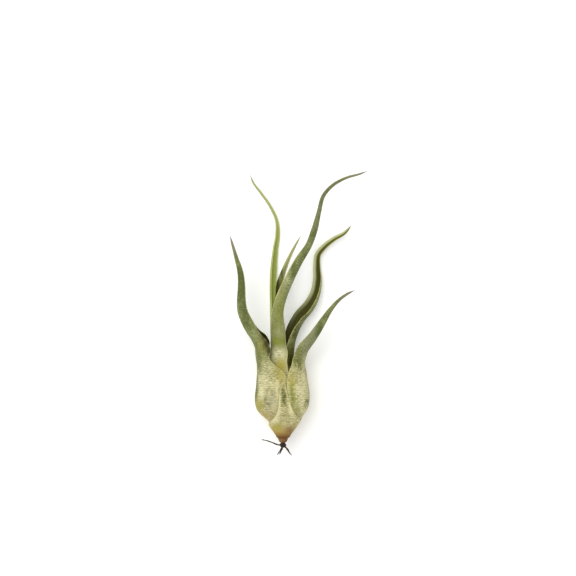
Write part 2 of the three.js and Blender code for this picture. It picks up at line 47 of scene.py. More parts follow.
import bpy
import numpy as np
from bpy.props import FloatProperty, FloatVectorProperty, IntProperty, PointerProperty
from mathutils import Vector

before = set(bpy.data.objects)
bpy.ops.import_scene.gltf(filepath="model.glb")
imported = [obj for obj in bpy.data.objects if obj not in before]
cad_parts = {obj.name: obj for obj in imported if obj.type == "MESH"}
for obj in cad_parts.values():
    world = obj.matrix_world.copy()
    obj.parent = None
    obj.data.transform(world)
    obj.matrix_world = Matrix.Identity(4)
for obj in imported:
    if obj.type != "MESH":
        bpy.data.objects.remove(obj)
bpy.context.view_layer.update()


MM = 0.001
BODY = "root"
FULL_TURN = 2 * np.pi
RIGHT, UPWARD, FRONT = np.eye(3)  # X, Y and Z as the plant's own directions

# ---- the plant's form, in millimetres and degrees ----

AXIS_HEIGHT = sum(corner.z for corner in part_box("stem")) / 2 / MM  # the bulb's axis above the table
FLATTENING = 0.87  # the plant's depth as a share of a round plant's
AXIS_OFFSET = -1.2  # the bulb swells to the left of its stem by this much...
OFFSET_FROM, OFFSET_TO = -16, -6  # ...between these heights
SHEATH_PITCH = 1.55  # from one sheath's outer face to the next one's inside it
SHEATH_THICK, MARGIN_THICK, TIP_THICK = 1, 0.72, 0.75
STEM_RADIUS, STEM_GAP = 2.7, 0.35
STEM_BOTTOM, STEM_TOP = -24.1, -7.5  # its bottom is inside the knob
BASE_BELOW = -6  # every leaf leaves the stem below this height
NECK_FROM, NECK_TO = 8, 30  # a sheath thickens into its blade between these heights
DENTS_FADE_FROM, DENTS_FADE_TO = 12, 20
LEAN_FROM, LEAN_TO = 12, 38  # sections turn square to the blade between these heights
ROW_CLEAR = 0.6  # no other section is nearer to a sheath's base or top
TANGENT_STEP = 0.8  # a leaf's way is taken over this much before and after a place
LEAST_HOLLOW = 0.3  # a slim blade's inner face has at least this share of its radius
TAPER = 1.5  # a blade thins to its tip by this power of the way along
TIP_POWER = 0.75  # a tip narrows by this power of what is left to its point
SCALE_TIP = 1.6  # length over which a scale comes to its point
BASE_ROUNDING = 0.6  # length over which a leaf's wall closes at its base
MARGIN_POWER = 1.3  # how much closer a leaf's points are at its margins
ARC_STEPS, BASE_STEPS = 24, 2000
LUMP_SEED, FLAKE_SEED, ROOT_SEED = 40, 70, 11
LUMP_WAVES = (0.11, 0.07, 0.05)  # to the mm
LUMP_RADIUS = 12  # lumps are lower on leaves of a smaller radius
RELIEF_FROM, RELIEF_AT_BASE, RELIEF_AT_TIP = 1, 6, 12  # the relief grows over these mm at a leaf's ends

# Height along the axis, and how far the outermost scales stand from it.
BULB_OUTLINE = (
    (-23, 3), (-21.3, 3.7), (-19, 5), (-16, 7.3), (-12.8, 10.1), (-9.5, 13.1), (-6.5, 15.7),
    (-3, 17.2), (1, 17.6), (6, 17.3), (12, 16.5), (18, 15.7), (24, 15.2),
)

# The heights of the sheaths' sections.
SHEATH_ROWS = (
    -20, -18.5, -17, -15.5, -14, -12.5, -11, -9.5, -8, -6, -3.5, -0.5, 2.5, 5.5, 8.5, 12,
)

# Hollows and swellings that all the sheaths share: azimuth, height, reach, rise, share of the radius.
DENTS = (
    (8, 7, 18, 10, -0.11),  # the valley where the two big sheaths meet
    (-48, -1, 26, 7, 0.035),  # the left sheath's pouch
)

# Each leaf. level: how many sheaths lie outside it. back: the azimuth of the sheath's back. flakes: the
# height at which its flakes begin. sheath: height, reach to the left and right of the back. sink:
# height, how deep the sheath sinks towards the axis. neck: height, radius, reach to the left and right,
# azimuth of its back. blade: the middle of its width and depth as seen from the front (x, y, z), width,
# how far its channel curls up each side, azimuth of its back. groove: a valley along its tip, the
# heights that it is between and over which it fades, its depth and its share of the width.
LEAVES = {
    "leaf_left": {
        "level": 2, "back": -60, "thick": 1.9, "flakes": -16,
        "sheath": ((-16, 98, 98), (-8, 94, 90), (0, 90, 84), (8.5, 86, 80)),
        "neck": ((12, 13.6, 82, 79.5, -61), (16, 13.4, 78, 72, -65), (20.5, 13.5, 70, 58, -75)),
        "blade": (
            (-11.5, 25, 15.4, 7.8, 68, -86), (-11.4, 29.6, 16.5, 8.8, 88, -88),
            (-12.35, 32.6, 17.2, 8.7, 94, -87), (-14.75, 35.8, 18, 7.1, 100, -86),
            (-17.5, 39.4, 18.8, 6.5, 104, -85), (-19.2, 42.6, 19.4, 6.6, 106, -83),
            (-22.25, 49.3, 20.2, 6, 110, -80), (-23.05, 56, 20.4, 5.2, 112, -76),
            (-23, 63.5, 20, 4.45, 112, -70), (-23.65, 71.5, 19.3, 3.6, 110, -66),
            (-25.9, 79.5, 18.6, 2.55, 106, -62), (-28.1, 87, 18.1, 1.7, 96, -60),
            (-29.7, 92.2, 17.9, 1.1, 84, -60),
        ),
    },
    "leaf_right": {
        "level": 1, "back": 72, "thick": 1.8, "flakes": -16,
        "sheath": ((-18, 98, 98), (-8, 80, 92), (0, 64, 88), (8.5, 58, 84)),
        "neck": ((12, 14.9, 57, 80, 72), (16, 14.5, 54, 74, 72), (21, 13.6, 45, 64, 72)),
        "blade": (
            (9.8, 25.5, 16.1, 6.6, 62, 73), (11.6, 29.6, 16.9, 6.6, 82, 74), (15.6, 34.5, 18, 5.75, 94, 74),
            (19.15, 39.6, 19, 5.05, 102, 72), (23.1, 45.8, 19.8, 3.95, 106, 68),
            (26.65, 51.1, 20.2, 2.9, 106, 64), (30.85, 55.85, 20.4, 2.2, 100, 60),
            (35.5, 59.3, 20.3, 1.8, 92, 56), (40.3, 61.6, 20, 1.25, 84, 54),
        ),
    },
    "leaf_back_right": {
        "level": 3, "back": 130, "thick": 1.6, "flakes": 34,
        "sheath": ((-14, 96, 96), (0, 88, 88), (5.5, 84, 82)),
        "neck": (
            (10, 11.6, 84, 76, 127), (13, 10.4, 84, 75, 124), (16, 9, 84, 70, 120), (19, 7.9, 88, 62, 116),
            (22, 7.2, 92, 58, 112),
        ),
        "blade": (
            (3.6, 31, 11.4, 6.2, 104, 106), (5.05, 38.4, 10, 7.3, 98, 118), (8.85, 46, 8.2, 7.5, 100, 129),
            (14.45, 52.75, 6.3, 7.3, 100, 134), (18.05, 59.9, 4.3, 6.15, 98, 140),
            (19.25, 67.5, 2.6, 5.4, 94, 154), (19.02, 75, 1.3, 4.6, 88, 166),
            (19.6, 81.4, 1.8, 4.1, 84, 172), (23.4, 86.2, 3, 3.7, 84, 174),
            (28.65, 90.3, 4.7, 3.2, 84, 174), (34.25, 93.5, 6.5, 2.5, 84, 172),
            (38.7, 98.2, 8, 1.2, 80, 170),
        ),
    },
    "leaf_back_left": {
        "level": 4, "back": -125, "thick": 1.4, "flakes": 8,
        "sheath": ((-13, 92, 92), (0, 84, 84), (5.5, 80, 80)),
        "neck": ((10, 10, 74, 68, -125), (16, 7.6, 66, 54, -125), (22, 6, 52, 42, -125)),
        "blade": (
            (-4.65, 31, 11.2, 4.7, 72, -128), (-4.85, 42, 9.2, 4.8, 82, -132),
            (-5.2, 53, 6.8, 4.4, 90, -134), (-5.45, 64, 4.6, 4.2, 94, -136), (-5.1, 74, 3, 4.1, 96, -138),
            (-4.2, 84, 1.9, 3.5, 96, -140), (-2.95, 93, 1.2, 3, 96, -142), (-3.5, 101, 1.5, 2.25, 94, -144),
            (-7.2, 109, 2.4, 1.9, 92, -146), (-12.1, 116, 3.8, 1.6, 90, -148),
            (-16.5, 121.8, 5.2, 1.3, 86, -148), (-18.6, 126.8, 6.4, 1, 80, -148),
        ),
    },
    "leaf_front": {
        "level": 5, "back": -8, "thick": 2, "flakes": 10,
        "sheath": ((-11, 92, 92), (-3, 86, 86), (2.5, 66, 64), (5.5, 48, 46)),
        "neck": (
            (8.5, 9.3, 42, 42, -8), (12, 10.6, 40, 36, -9), (16, 10.4, 40, 34.5, -9),
            (22, 8.6, 42, 36, -10),
        ),
        "blade": (
            (-2.4, 30, 18.4, 9.4, 72, -8), (-2.95, 40, 19.4, 8.95, 88, -1), (-3.05, 49, 20.6, 7.1, 96, 14),
            (-0.8, 58, 22, 6.3, 102, 32), (3.5, 67.8, 23.4, 5.7, 106, 38), (8.6, 77.7, 24.4, 5.2, 108, 32),
            (14.25, 86.6, 25, 4.2, 108, 18), (17.5, 95.2, 25.2, 3.95, 108, 4),
            (20.05, 105.1, 24.8, 2.95, 106, -4), (22.45, 113.8, 24, 2.55, 104, -8),
            (27.9, 120, 23.2, 2.3, 100, -10), (35.1, 124, 22.5, 1.85, 94, -10),
            (42.5, 126.15, 22, 1.4, 88, -10), (47.4, 127.95, 21.7, 0.9, 80, -10),
        ),
    },
    "leaf_inner": {
        "level": 6, "back": 168, "thick": 1.2, "flakes": 14,
        "sheath": ((-9, 86, 86), (0, 78, 78), (5.5, 74, 74)),
        "neck": ((10, 6.6, 70, 70, 168), (16, 4.4, 68, 68, 168), (22, 3.2, 68, 68, 168)),
        "blade": (
            (-1.6, 30, 13.6, 4.2, 72, 168), (-1.9, 44, 13, 4, 78, 168), (-2.4, 57, 12.6, 4.4, 82, 166),
            (-2, 65, 12.6, 4.1, 84, 164), (0.1, 71.6, 12.8, 3.4, 86, 162), (2.6, 78, 13.1, 2.6, 86, 160),
            (5.6, 84.2, 13.5, 1.9, 84, 160), (8, 88.6, 13.8, 1.3, 82, 160), (10.1, 92.2, 14, 0.85, 80, 160),
        ),
    },
    "scale_front": {
        "level": 0, "back": 8, "flakes": -18,
        "sheath": (
            (-21, 86, 84), (-16, 82, 82), (-14.2, 74, 77), (-12.3, 52, 65), (-10.5, 34, 49),
            (-8.4, 21.5, 31), (-6.2, 15.5, 20), (-3.4, 12.5, 13.4), (1.1, 11.5, 8.5), (5, 10.5, 5),
            (8.5, 7, 3), (11.2, 1.2, 1.4),
        ),
        "groove": (-7, 10.5, 3, 0.42, 0.42),
    },
    "scale_back": {
        "level": 0, "back": 182, "flakes": -18,
        "sheath": (
            (-21, 84, 82), (-17.5, 83, 80), (-14.5, 80, 62), (-12, 76, 46), (-8, 64, 45), (-3, 51, 46),
            (2, 40, 40), (7, 27, 28), (9.5, 20, 21.5), (12.5, 11, 11.5), (15.5, 1.6, 1.6),
        ),
        "sink": ((2, 0), (7, 0), (9.5, 0.5), (12.5, 1.8), (15.5, 3.2)),
    },
}

# Patches that the plain colours don't give: x, y, reach across and along, strength. They are on the
# faces turned to the front.
PATCHES = {
    "leaf_left": {
        "yellow": ((-12.9, -2.4, 1.9, 3.6, 1.4), (-0.8, 15, 4.5, 6, 0.85), (-12, 30.5, 2.4, 4, 0.5)),
        "tan": ((-11, -8.8, 5.2, 2.4, 0.85),),
        # The first two paint the highlight beside the front scale's left margin ridge; the others are thick
        # bloom.
        "silver_and_painted_light": (
            (-5, 0, 1.6, 6.5, 0.5), (-3.4, 5, 1, 6.5, 1), (-12, 5, 1.8, 4.6, 0.9),
            (-9.5, 13, 4.5, 7.5, 0.6),
        ),
        "grey": ((-7.2, -0.6, 4.4, 6.6, 0.6),),
        # The first green paints the shade at the bulb's left edge; the others show green through thin
        # bloom.
        "green": (
            (-15.2, 9.5, 1.2, 8.5, 1.2), (-9, 15.5, 5.5, 3.2, 0.3), (-13.4, 21, 1.8, 9, 0.5),
            (-20.5, 50, 3, 12, 0.6), (-22.4, 66, 1.8, 12, 0.5),
        ),
        # Painted shade where the blade's right side curves away from the light; the first three are small
        # dark dots of the leaf's own.
        "painted_shade_and_dots": (
            (-8.2, -1.8, 0.9, 0.5, 0.35), (-9.8, 1.2, 0.6, 1.3, 0.4), (-9.2, 5.6, 0.8, 0.6, 0.35),
            (-6.6, 24.4, 0.9, 2.4, 0.8), (-7.7, 28, 1.6, 3.2, 0.95), (-8.9, 32, 2.4, 4, 1),
            (-10.4, 36.5, 2.6, 4.2, 1), (-12.4, 41, 2, 4, 0.7),
        ),
    },
    "leaf_right": {
        "yellow": ((5, 11, 2.6, 5.5, 0.8),),
        "moss": ((7.6, -4.5, 1.4, 3.2, 1), (6.1, 0.2, 1.2, 4.4, 1.3), (4.7, 5.4, 1.1, 4.2, 1.2)),
        "silver_and_painted_light": ((10.4, 5.6, 3.4, 8.5, 0.6), (12, 15, 2.4, 5, 0.5), (12.5, 21, 2.2, 8, 0.4)),
        "grey": ((14.6, 15, 1.5, 12, 0.7), (13.5, 33, 4, 5.5, 0.6), (17, 39, 1.6, 7, 0.7)),
        # The first green paints the shade at the bulb's right edge; the others show green through thin
        # bloom.
        "green": (
            (13.6, -0.5, 1.2, 2.2, 0.8), (5.2, 2.6, 0.8, 5, 0.45), (9.4, 23, 3, 7, 0.4),
            (20.2, 38.5, 1.8, 6, 0.75),
        ),
    },
    "leaf_front": {
        # Its yellow-olive is its own, painted stronger to lift the shade under the left leaf's margin.
        "yellow": ((-1.2, 18.6, 3.4, 5, 1.3),),
        "moss": ((-3.2, 32.6, 4.8, 3, 1.2), (-2.2, 50, 2.4, 8, 0.6)),
        # The second paints light onto the left side, which the left leaf shades; the others are thick
        # bloom.
        "silver_and_painted_light": ((-2.4, 26.4, 5.8, 3, 0.95), (-8.2, 34, 1.3, 12, 1), (3.4, 66, 2.4, 3.2, 0.4)),
        "green": ((5.6, 72.5, 2.6, 5, 0.55), (11, 84, 2.4, 5, 0.4)),
    },
    "leaf_back_right": {
        # Painted shade on the outer face where it lies deep between the front and right leaves.
        "painted_shade_and_dots": ((4, 21, 2.8, 9, 0.8), (8, 37, 3.4, 7, 0.4), (12.5, 46, 3.4, 5, 0.3)),
    },
    "leaf_inner": {
        # Painted shade on the left strip, which the leaves in front of it shade.
        "painted_shade_and_dots": ((-3.8, 63.5, 2.1, 7.5, 1.4), (-1, 72.5, 1.1, 5.5, 0.8)),
    },
    "scale_front": {
        "yellow": ((-3.2, -15, 3, 2.8, 1.1),),
        # The first two paint the highlight along the scale's left margin ridge, the third the one along its
        # right margin.
        "silver_and_painted_light": ((-4.5, -8.3, 2, 3.4, 1.7), (-2.9, -3.4, 1.5, 4.6, 1.8), (4.6, -3, 1, 4.4, 0.9)),
        # Partly painted shade in the groove, partly green through thin bloom.
        "green": ((0.3, 4, 2, 6.5, 0.7),),
        # Painted shade at the top of the groove.
        "painted_shade_and_dots": ((0.9, 1.4, 0.6, 2.4, 0.3),),
        "dry": ((1.6, -20.5, 5, 2.2, 0.46), (3.8, -16.6, 3.2, 2.8, 0.66)),
    },
}
PATCH_KINDS = ("yellow", "moss", "tan", "silver_and_painted_light", "grey", "green", "painted_shade_and_dots", "dry")

# Half of a leaf's width in mm, the size of its flakes there, and the share of places that have one.
FLAKE_WIDTHS = (1, 5, 10, 20)
FLAKE_SIZES = (0.45, 0.65, 0.85, 1.1)
FLAKE_SHARES = (0.06, 0.1, 0.22, 0.36)
FLAKE_SIDES = 6
FLAKE_JITTER, FLAKE_STRAY = 0.45, 0.2  # across, as a share of the gap in a row, and along in mm
FLAKE_INSET = 0.97  # flakes keep to this share of the leaf's width
FLAKE_RIM, FLAKE_CROWN, FLAKE_FOOT = 0.015, 0.09, -0.06  # how high they stand off the leaf
FLAKE_TILT = 0.25  # how steeply a flake rises to the leaf's tip
FLAKE_SPREAD = (0.65, 1.15)  # flakes are between these shares of their size
FLAKE_BARE = (0.1, 0.7)  # a flake is lost on a patch that is stronger than a draw between these
STEP_ALONG, STEP_ACROSS = 0.05, 0.01  # to find how a leaf's face lies under a flake

KNOB_Y, KNOB_RADIUS, KNOB_SQUASH = -25.2, 1.8, 0.82  # the woody knob that the roots grow from
KNOB_RINGS, KNOB_SIDES = 40, 56
FIRST_ROOT = {"azimuth": -84, "reach": 12.5, "drop": -3.4, "bend": 8}
GOLDEN_ANGLE = 137.5
ROOT_COUNT = 5
ROOT_THICK, ROOT_THINNING = 0.9, 0.45  # its diameter, and the share of it that is lost to its end
ROOT_CURL = 1.4  # a root drops by this power of the way along
ROOT_WAVE, ROOT_WAVE_TURN = 0.35, 6
ROOT_KNOTS, ROOT_STEPS, ROOT_SIDES = 5, 60, 14
ROOT_ENDS = (0.04, 0.06)  # the shares of its length over which a root closes at its two ends
STEM_RINGS, STEM_SIDES = 90, 48
STEM_ENDS = (0.14, 0.08)  # the shares of its length over which its ends are round

# ---- sizes, colours and light that a user may change ----


def srgb(red, green, blue):
    """A colour given as it looks, 0 to 255, as the linear numbers that the materials take."""
    share = np.array([red, green, blue]) / 255
    return tuple(np.where(share <= 0.04045, share / 12.92, ((share + 0.055) / 1.055) ** 2.4))


def length(name, description, default):
    return FloatProperty(
        name=name, description=description, default=default, min=0, unit="LENGTH", precision=5
    )


def colour(name, description, *shade):
    return FloatVectorProperty(
        name=name, description=description, default=srgb(*shade), size=3, subtype="COLOR", min=0, max=1
    )


class PlantSizes(bpy.types.PropertyGroup):
    row_step: length("Row step", "Distance between a leaf's cross-sections", 0.55 * MM)
    across: IntProperty(name="Points across", description="Points across a leaf's face", default=97, min=9)
    tip: length("Tip", "Length over which a blade comes to its point", 4 * MM)
    rib_height: length("Rib height", "Height of a leaf's fine ribs", 0.055 * MM)
    ribs: IntProperty(name="Ribs", description="Ribs across a leaf", default=21, min=1)
    lump_height: length("Lump height", "Height of a leaf's soft unevenness", 0.1 * MM)
    flake_row: length("Flake row", "Distance between rows of silvery flakes", 1.25 * MM)
    flake_gap: length("Flake gap", "Distance between flakes in a row", 0.95 * MM)
    flake_long: length("Flake length", "Length of a flake across the leaf", 0.62 * MM)
    flake_wide: length("Flake width", "Width of a flake along the leaf", 0.3 * MM)


class PlantColours(bpy.types.PropertyGroup):
    cream: colour("Cream", "The bulb's pale bloom", 226, 217, 164)
    # Also painted highlights and painted light on shaded sides, where the patches put it.
    silver_and_painted_light: colour("Silver", "Bloom where it is thickest", 226, 221, 182)
    sheath: colour("Sheath", "Green of the bulb between its bloom", 118, 116, 50)
    neck: colour("Neck", "Olive green of the necks", 112, 114, 48)
    blade: colour("Blade", "Dark green of the blades", 84, 94, 40)
    frost: colour("Frost", "Grey-green bloom of the blades", 164, 167, 114)
    bright: colour("Bright", "Yellow-green of the back left blade", 138, 150, 58)
    bright_frost: colour("Bright frost", "Bloom of the back left blade", 190, 196, 132)
    # The inner faces' dark olive is partly their own colour and partly painted shade of the channel.
    channel: colour("Channel", "Olive of the blades' inner faces", 60, 58, 4)
    channel_frost: colour("Channel frost", "Bloom of the blades' inner faces", 104, 104, 24)
    # Painted light: the left wall of an open channel, painted pale as if lit.
    wall: colour("Wall", "Bloom on the wall of an open channel", 214, 220, 168)
    # Pale edge: partly the margins' own, partly painted light on steep shaded sides and painted highlights
    # on the scales' ridges.
    margin: colour("Margin", "Pale edge of the leaves", 208, 202, 138)
    tip: colour("Tip", "Grey-purple of the leaf tips", 134, 130, 110)
    yellow: colour("Yellow patch", "Yellow-olive patches of the sheaths", 170, 158, 62)
    grey: colour("Grey patch", "Grey where the bloom has rubbed off", 142, 140, 112)
    moss: colour("Moss", "Yellow-green patches", 134, 140, 48)
    paper: colour("Paper", "Papery inside of the scales", 240, 214, 160)
    tan: colour("Dry tan", "Dry papery patches", 186, 158, 92)
    dry: colour("Dry brown", "Dry brown of the scales' bases", 110, 70, 34)
    # Also used as painted shade at the bulb's left and right edges and in the front scale's groove.
    green: colour("Green patch", "Green that shows through thin bloom", 92, 102, 52)
    # Painted shade: the dark of stretches that curve away or lie deep among the leaves, and a few small
    # dark dots.
    painted_shade_and_dots: colour("Dusk", "Dark brownish olive of shaded, bare stretches", 56, 53, 6)
    flake: colour("Flake", "Silvery flakes", 226, 218, 176)
    stem: colour("Stem", "Tan of the stem", 146, 116, 72)
    root: colour("Root", "Dark brown of the roots", 46, 32, 24)
    floor: colour("Floor", "The pale floor", 250, 250, 249)


class StudioSettings(bpy.types.PropertyGroup):
    lens: FloatProperty(name="Lens", description="Focal length in millimetres", default=160, min=20)
    seen: length("Seen", "Width of the picture at the plant", 322.56 * MM)
    aim_x: FloatProperty(name="Aim across", description="Where the camera aims", default=2.8 * MM)
    aim_y: FloatProperty(name="Aim along", description="Where the camera aims", default=62.72 * MM)
    key: FloatProperty(name="Key light", description="Power of the soft light", default=5.6, unit="POWER")
    sky: FloatProperty(name="Sky", description="Strength of the even light all round", default=0.68)


# ---- arithmetic on arrays ----


def smoothstep(x, low, high):
    """0 up to low, 1 from high, and 3 s^2 - 2 s^3 at a share s of the way between."""
    share = np.clip((x - low) / (high - low), 0, 1)
    return share * share * (3 - 2 * share)


def unit(vectors):
    return vectors / np.linalg.norm(vectors, axis=-1, keepdims=True)


def through(knots, values, at):
    """Values on a smooth cubic through the knots.

    Each stretch is a Hermite cubic. Its slope at a knot is the slope of the line from the knot before to
    the knot after. Past the ends the value stays.
    """
    knots, values = np.asarray(knots, float), np.asarray(values, float)
    slopes = np.empty_like(values)
    slopes[1:-1] = (values[2:] - values[:-2]) / (knots[2:] - knots[:-2])
    slopes[0] = (values[1] - values[0]) / (knots[1] - knots[0])
    slopes[-1] = (values[-1] - values[-2]) / (knots[-1] - knots[-2])
    i = np.clip(np.searchsorted(knots, at) - 1, 0, len(knots) - 2)
    span = knots[i + 1] - knots[i]
    u = np.clip((at - knots[i]) / span, 0, 1)
    return (
        (2 * u**3 - 3 * u**2 + 1) * values[i]
        + (u**3 - 2 * u**2 + u) * span * slopes[i]
        + (3 * u**2 - 2 * u**3) * values[i + 1]
        + (u**3 - u**2) * span * slopes[i + 1]
    )


def columns(rows):
    """A table's columns, as arrays."""
    return np.array(rows, float).T


def round_turn(sides):
    """Angles once round, in radians."""
    return np.linspace(0, FULL_TURN, sides, endpoint=False)


# ---- the leaf's surface ----


def outward(azimuth):
    """Unit vectors away from the plant's axis: (sin a, 0, cos a)."""
    a = np.radians(azimuth)
    return np.stack([np.sin(a), np.zeros_like(a), np.cos(a)], -1)


def axis_x(y):
    """How far to the right the plant's axis is."""
    return AXIS_OFFSET * smoothstep(y, OFFSET_FROM, OFFSET_TO)


def on_table(points):
    """The plant is worked out round and about its own axis; this flattens it and lays it on the table."""
    return points * (1, 1, FLATTENING) + (0, 0, AXIS_HEIGHT)


def dent(azimuth, y):
    """The share that the shared hollows leave of a sheath's radius: 1 and a bell curve for each one."""
    share = np.ones_like(azimuth)
    for centre, height, reach, rise, amount in DENTS:
        turn = (azimuth - centre + 180) % 360 - 180
        share = share + amount * np.exp(-((turn / reach) ** 2) - ((y - height) / rise) ** 2)
    return share


def sheath_radius(level, y):
    """The bulb's outline, less one pitch for each sheath that lies outside this one."""
    return through(*columns(BULB_OUTLINE), y) - level * SHEATH_PITCH


def section_frames(along, back):
    """Each section's own axes: in towards the leaf's channel, and across it, square to the way along."""
    inwards = -outward(back)
    inwards = unit(inwards - (inwards * along).sum(-1, keepdims=True) * along)
    return inwards, np.cross(inwards, along)


def on_arc(frames, turn):
    """Unit vectors on the sections' arcs, for the turns (in degrees) of each: across sin - inwards cos."""
    inwards, across = frames
    a = np.radians(turn)[..., None]
    return across[:, None] * np.sin(a) - inwards[:, None] * np.cos(a)


def arc_extent(frames, left, right, direction):
    """The middle and the length of what each section's arc, of radius 1, covers in a direction."""
    turn = -left[:, None] + (left + right)[:, None] * np.linspace(0, 1, ARC_STEPS + 1)
    seen = (on_arc(frames, turn) * direction.reshape(-1, 1, 3)).sum(-1)
    return (seen.min(1) + seen.max(1)) / 2, seen.max(1) - seen.min(1)


# What a leaf's sections have: the centre (c) of each one's arc and the middle (m) of its width and depth,
# its radius, its reach and azimuth in degrees, its wall, and the shares of the dents and of the lean.
SECTION_KEYS = "cx cy cz mx my mz radius left right back thick denting lean".split()


def axis_sections(y, radius, left, right, back, thick, denting):
    """Sections round the plant's axis and square to it."""
    frames, x = section_frames(UPWARD, back), axis_x(y)
    middle_x = x + radius * arc_extent(frames, left, right, RIGHT)[0]
    middle_z = radius * arc_extent(frames, left, right, FRONT)[0]
    lean = smoothstep(y, LEAN_FROM, LEAN_TO)
    return x, y, 0 * y, middle_x, y, middle_z, radius, left, right, back, thick, denting, lean


def base_height(level):
    """The height at which a sheath of this level first clears the stem."""
    y = np.linspace(BULB_OUTLINE[0][0], BASE_BELOW, BASE_STEPS)
    return y[np.argmax(sheath_radius(level, y) >= STEM_RADIUS + STEM_GAP + MARGIN_THICK)]


def sheath_sections(leaf):
    """Sections from where the sheath clears the stem, through the shared rows, to the table's last one."""
    heights, left, right = columns(leaf["sheath"])
    base, top = base_height(leaf["level"]), heights[-1]
    y = np.array([base, *(y for y in SHEATH_ROWS if base + ROW_CLEAR < y < top - ROW_CLEAR), top])
    sink = through(*columns(leaf["sink"]), y) if "sink" in leaf else 0
    radius = sheath_radius(leaf["level"], y) - sink
    back, thick = np.full(len(y), float(leaf["back"])), np.where(y == base, MARGIN_THICK, SHEATH_THICK)
    left, right = through(heights, left, y), through(heights, right, y)
    return axis_sections(y, radius, left, right, back, thick, np.ones(len(y)))


def neck_sections(leaf):
    """Sections of the neck, whose wall grows from a sheath's to the blade's while the dents fade."""
    y, radius, left, right, back = columns(leaf["neck"])
    thick = SHEATH_THICK + (leaf["thick"] - SHEATH_THICK) * smoothstep(y, NECK_FROM, NECK_TO)
    denting = 1 - smoothstep(y, DENTS_FADE_FROM, DENTS_FADE_TO)
    return axis_sections(y, radius, left, right, back, thick, denting)


def facing(along, lean):
    """How a section faces: along the plant's axis low on a leaf, turning to along the blade."""
    return unit(UPWARD + (along - UPWARD) * lean[:, None])


def blade_sections(leaf):
    """Sections square to the blade, sized and set to have the stated width and middle from the front."""
    x, y, z, width, cup, back = columns(leaf["blade"])
    n = len(x)
    spots = np.stack([x, y, (z - AXIS_HEIGHT) / FLATTENING], -1)
    along = unit(spots[np.minimum(np.arange(n) + 1, n - 1)] - spots[np.maximum(np.arange(n) - 1, 0)])
    lean = smoothstep(y, LEAN_FROM, LEAN_TO)
    frames = section_frames(facing(along, lean), back)
    sideways = unit(np.stack([along[:, 1], -along[:, 0], np.zeros(n)], -1))
    middle, wide = arc_extent(frames, cup, cup, sideways)
    depth = arc_extent(frames, cup, cup, FRONT)[0]
    radius = width / wide
    centre = spots - sideways * (radius * middle)[:, None] - FRONT * (radius * depth)[:, None]
    thick = leaf["thick"] + (TIP_THICK - leaf["thick"]) * (np.arange(n) / (n - 1)) ** TAPER
    return *centre.T, *spots.T, radius, cup, cup, back, thick, np.zeros(n), lean


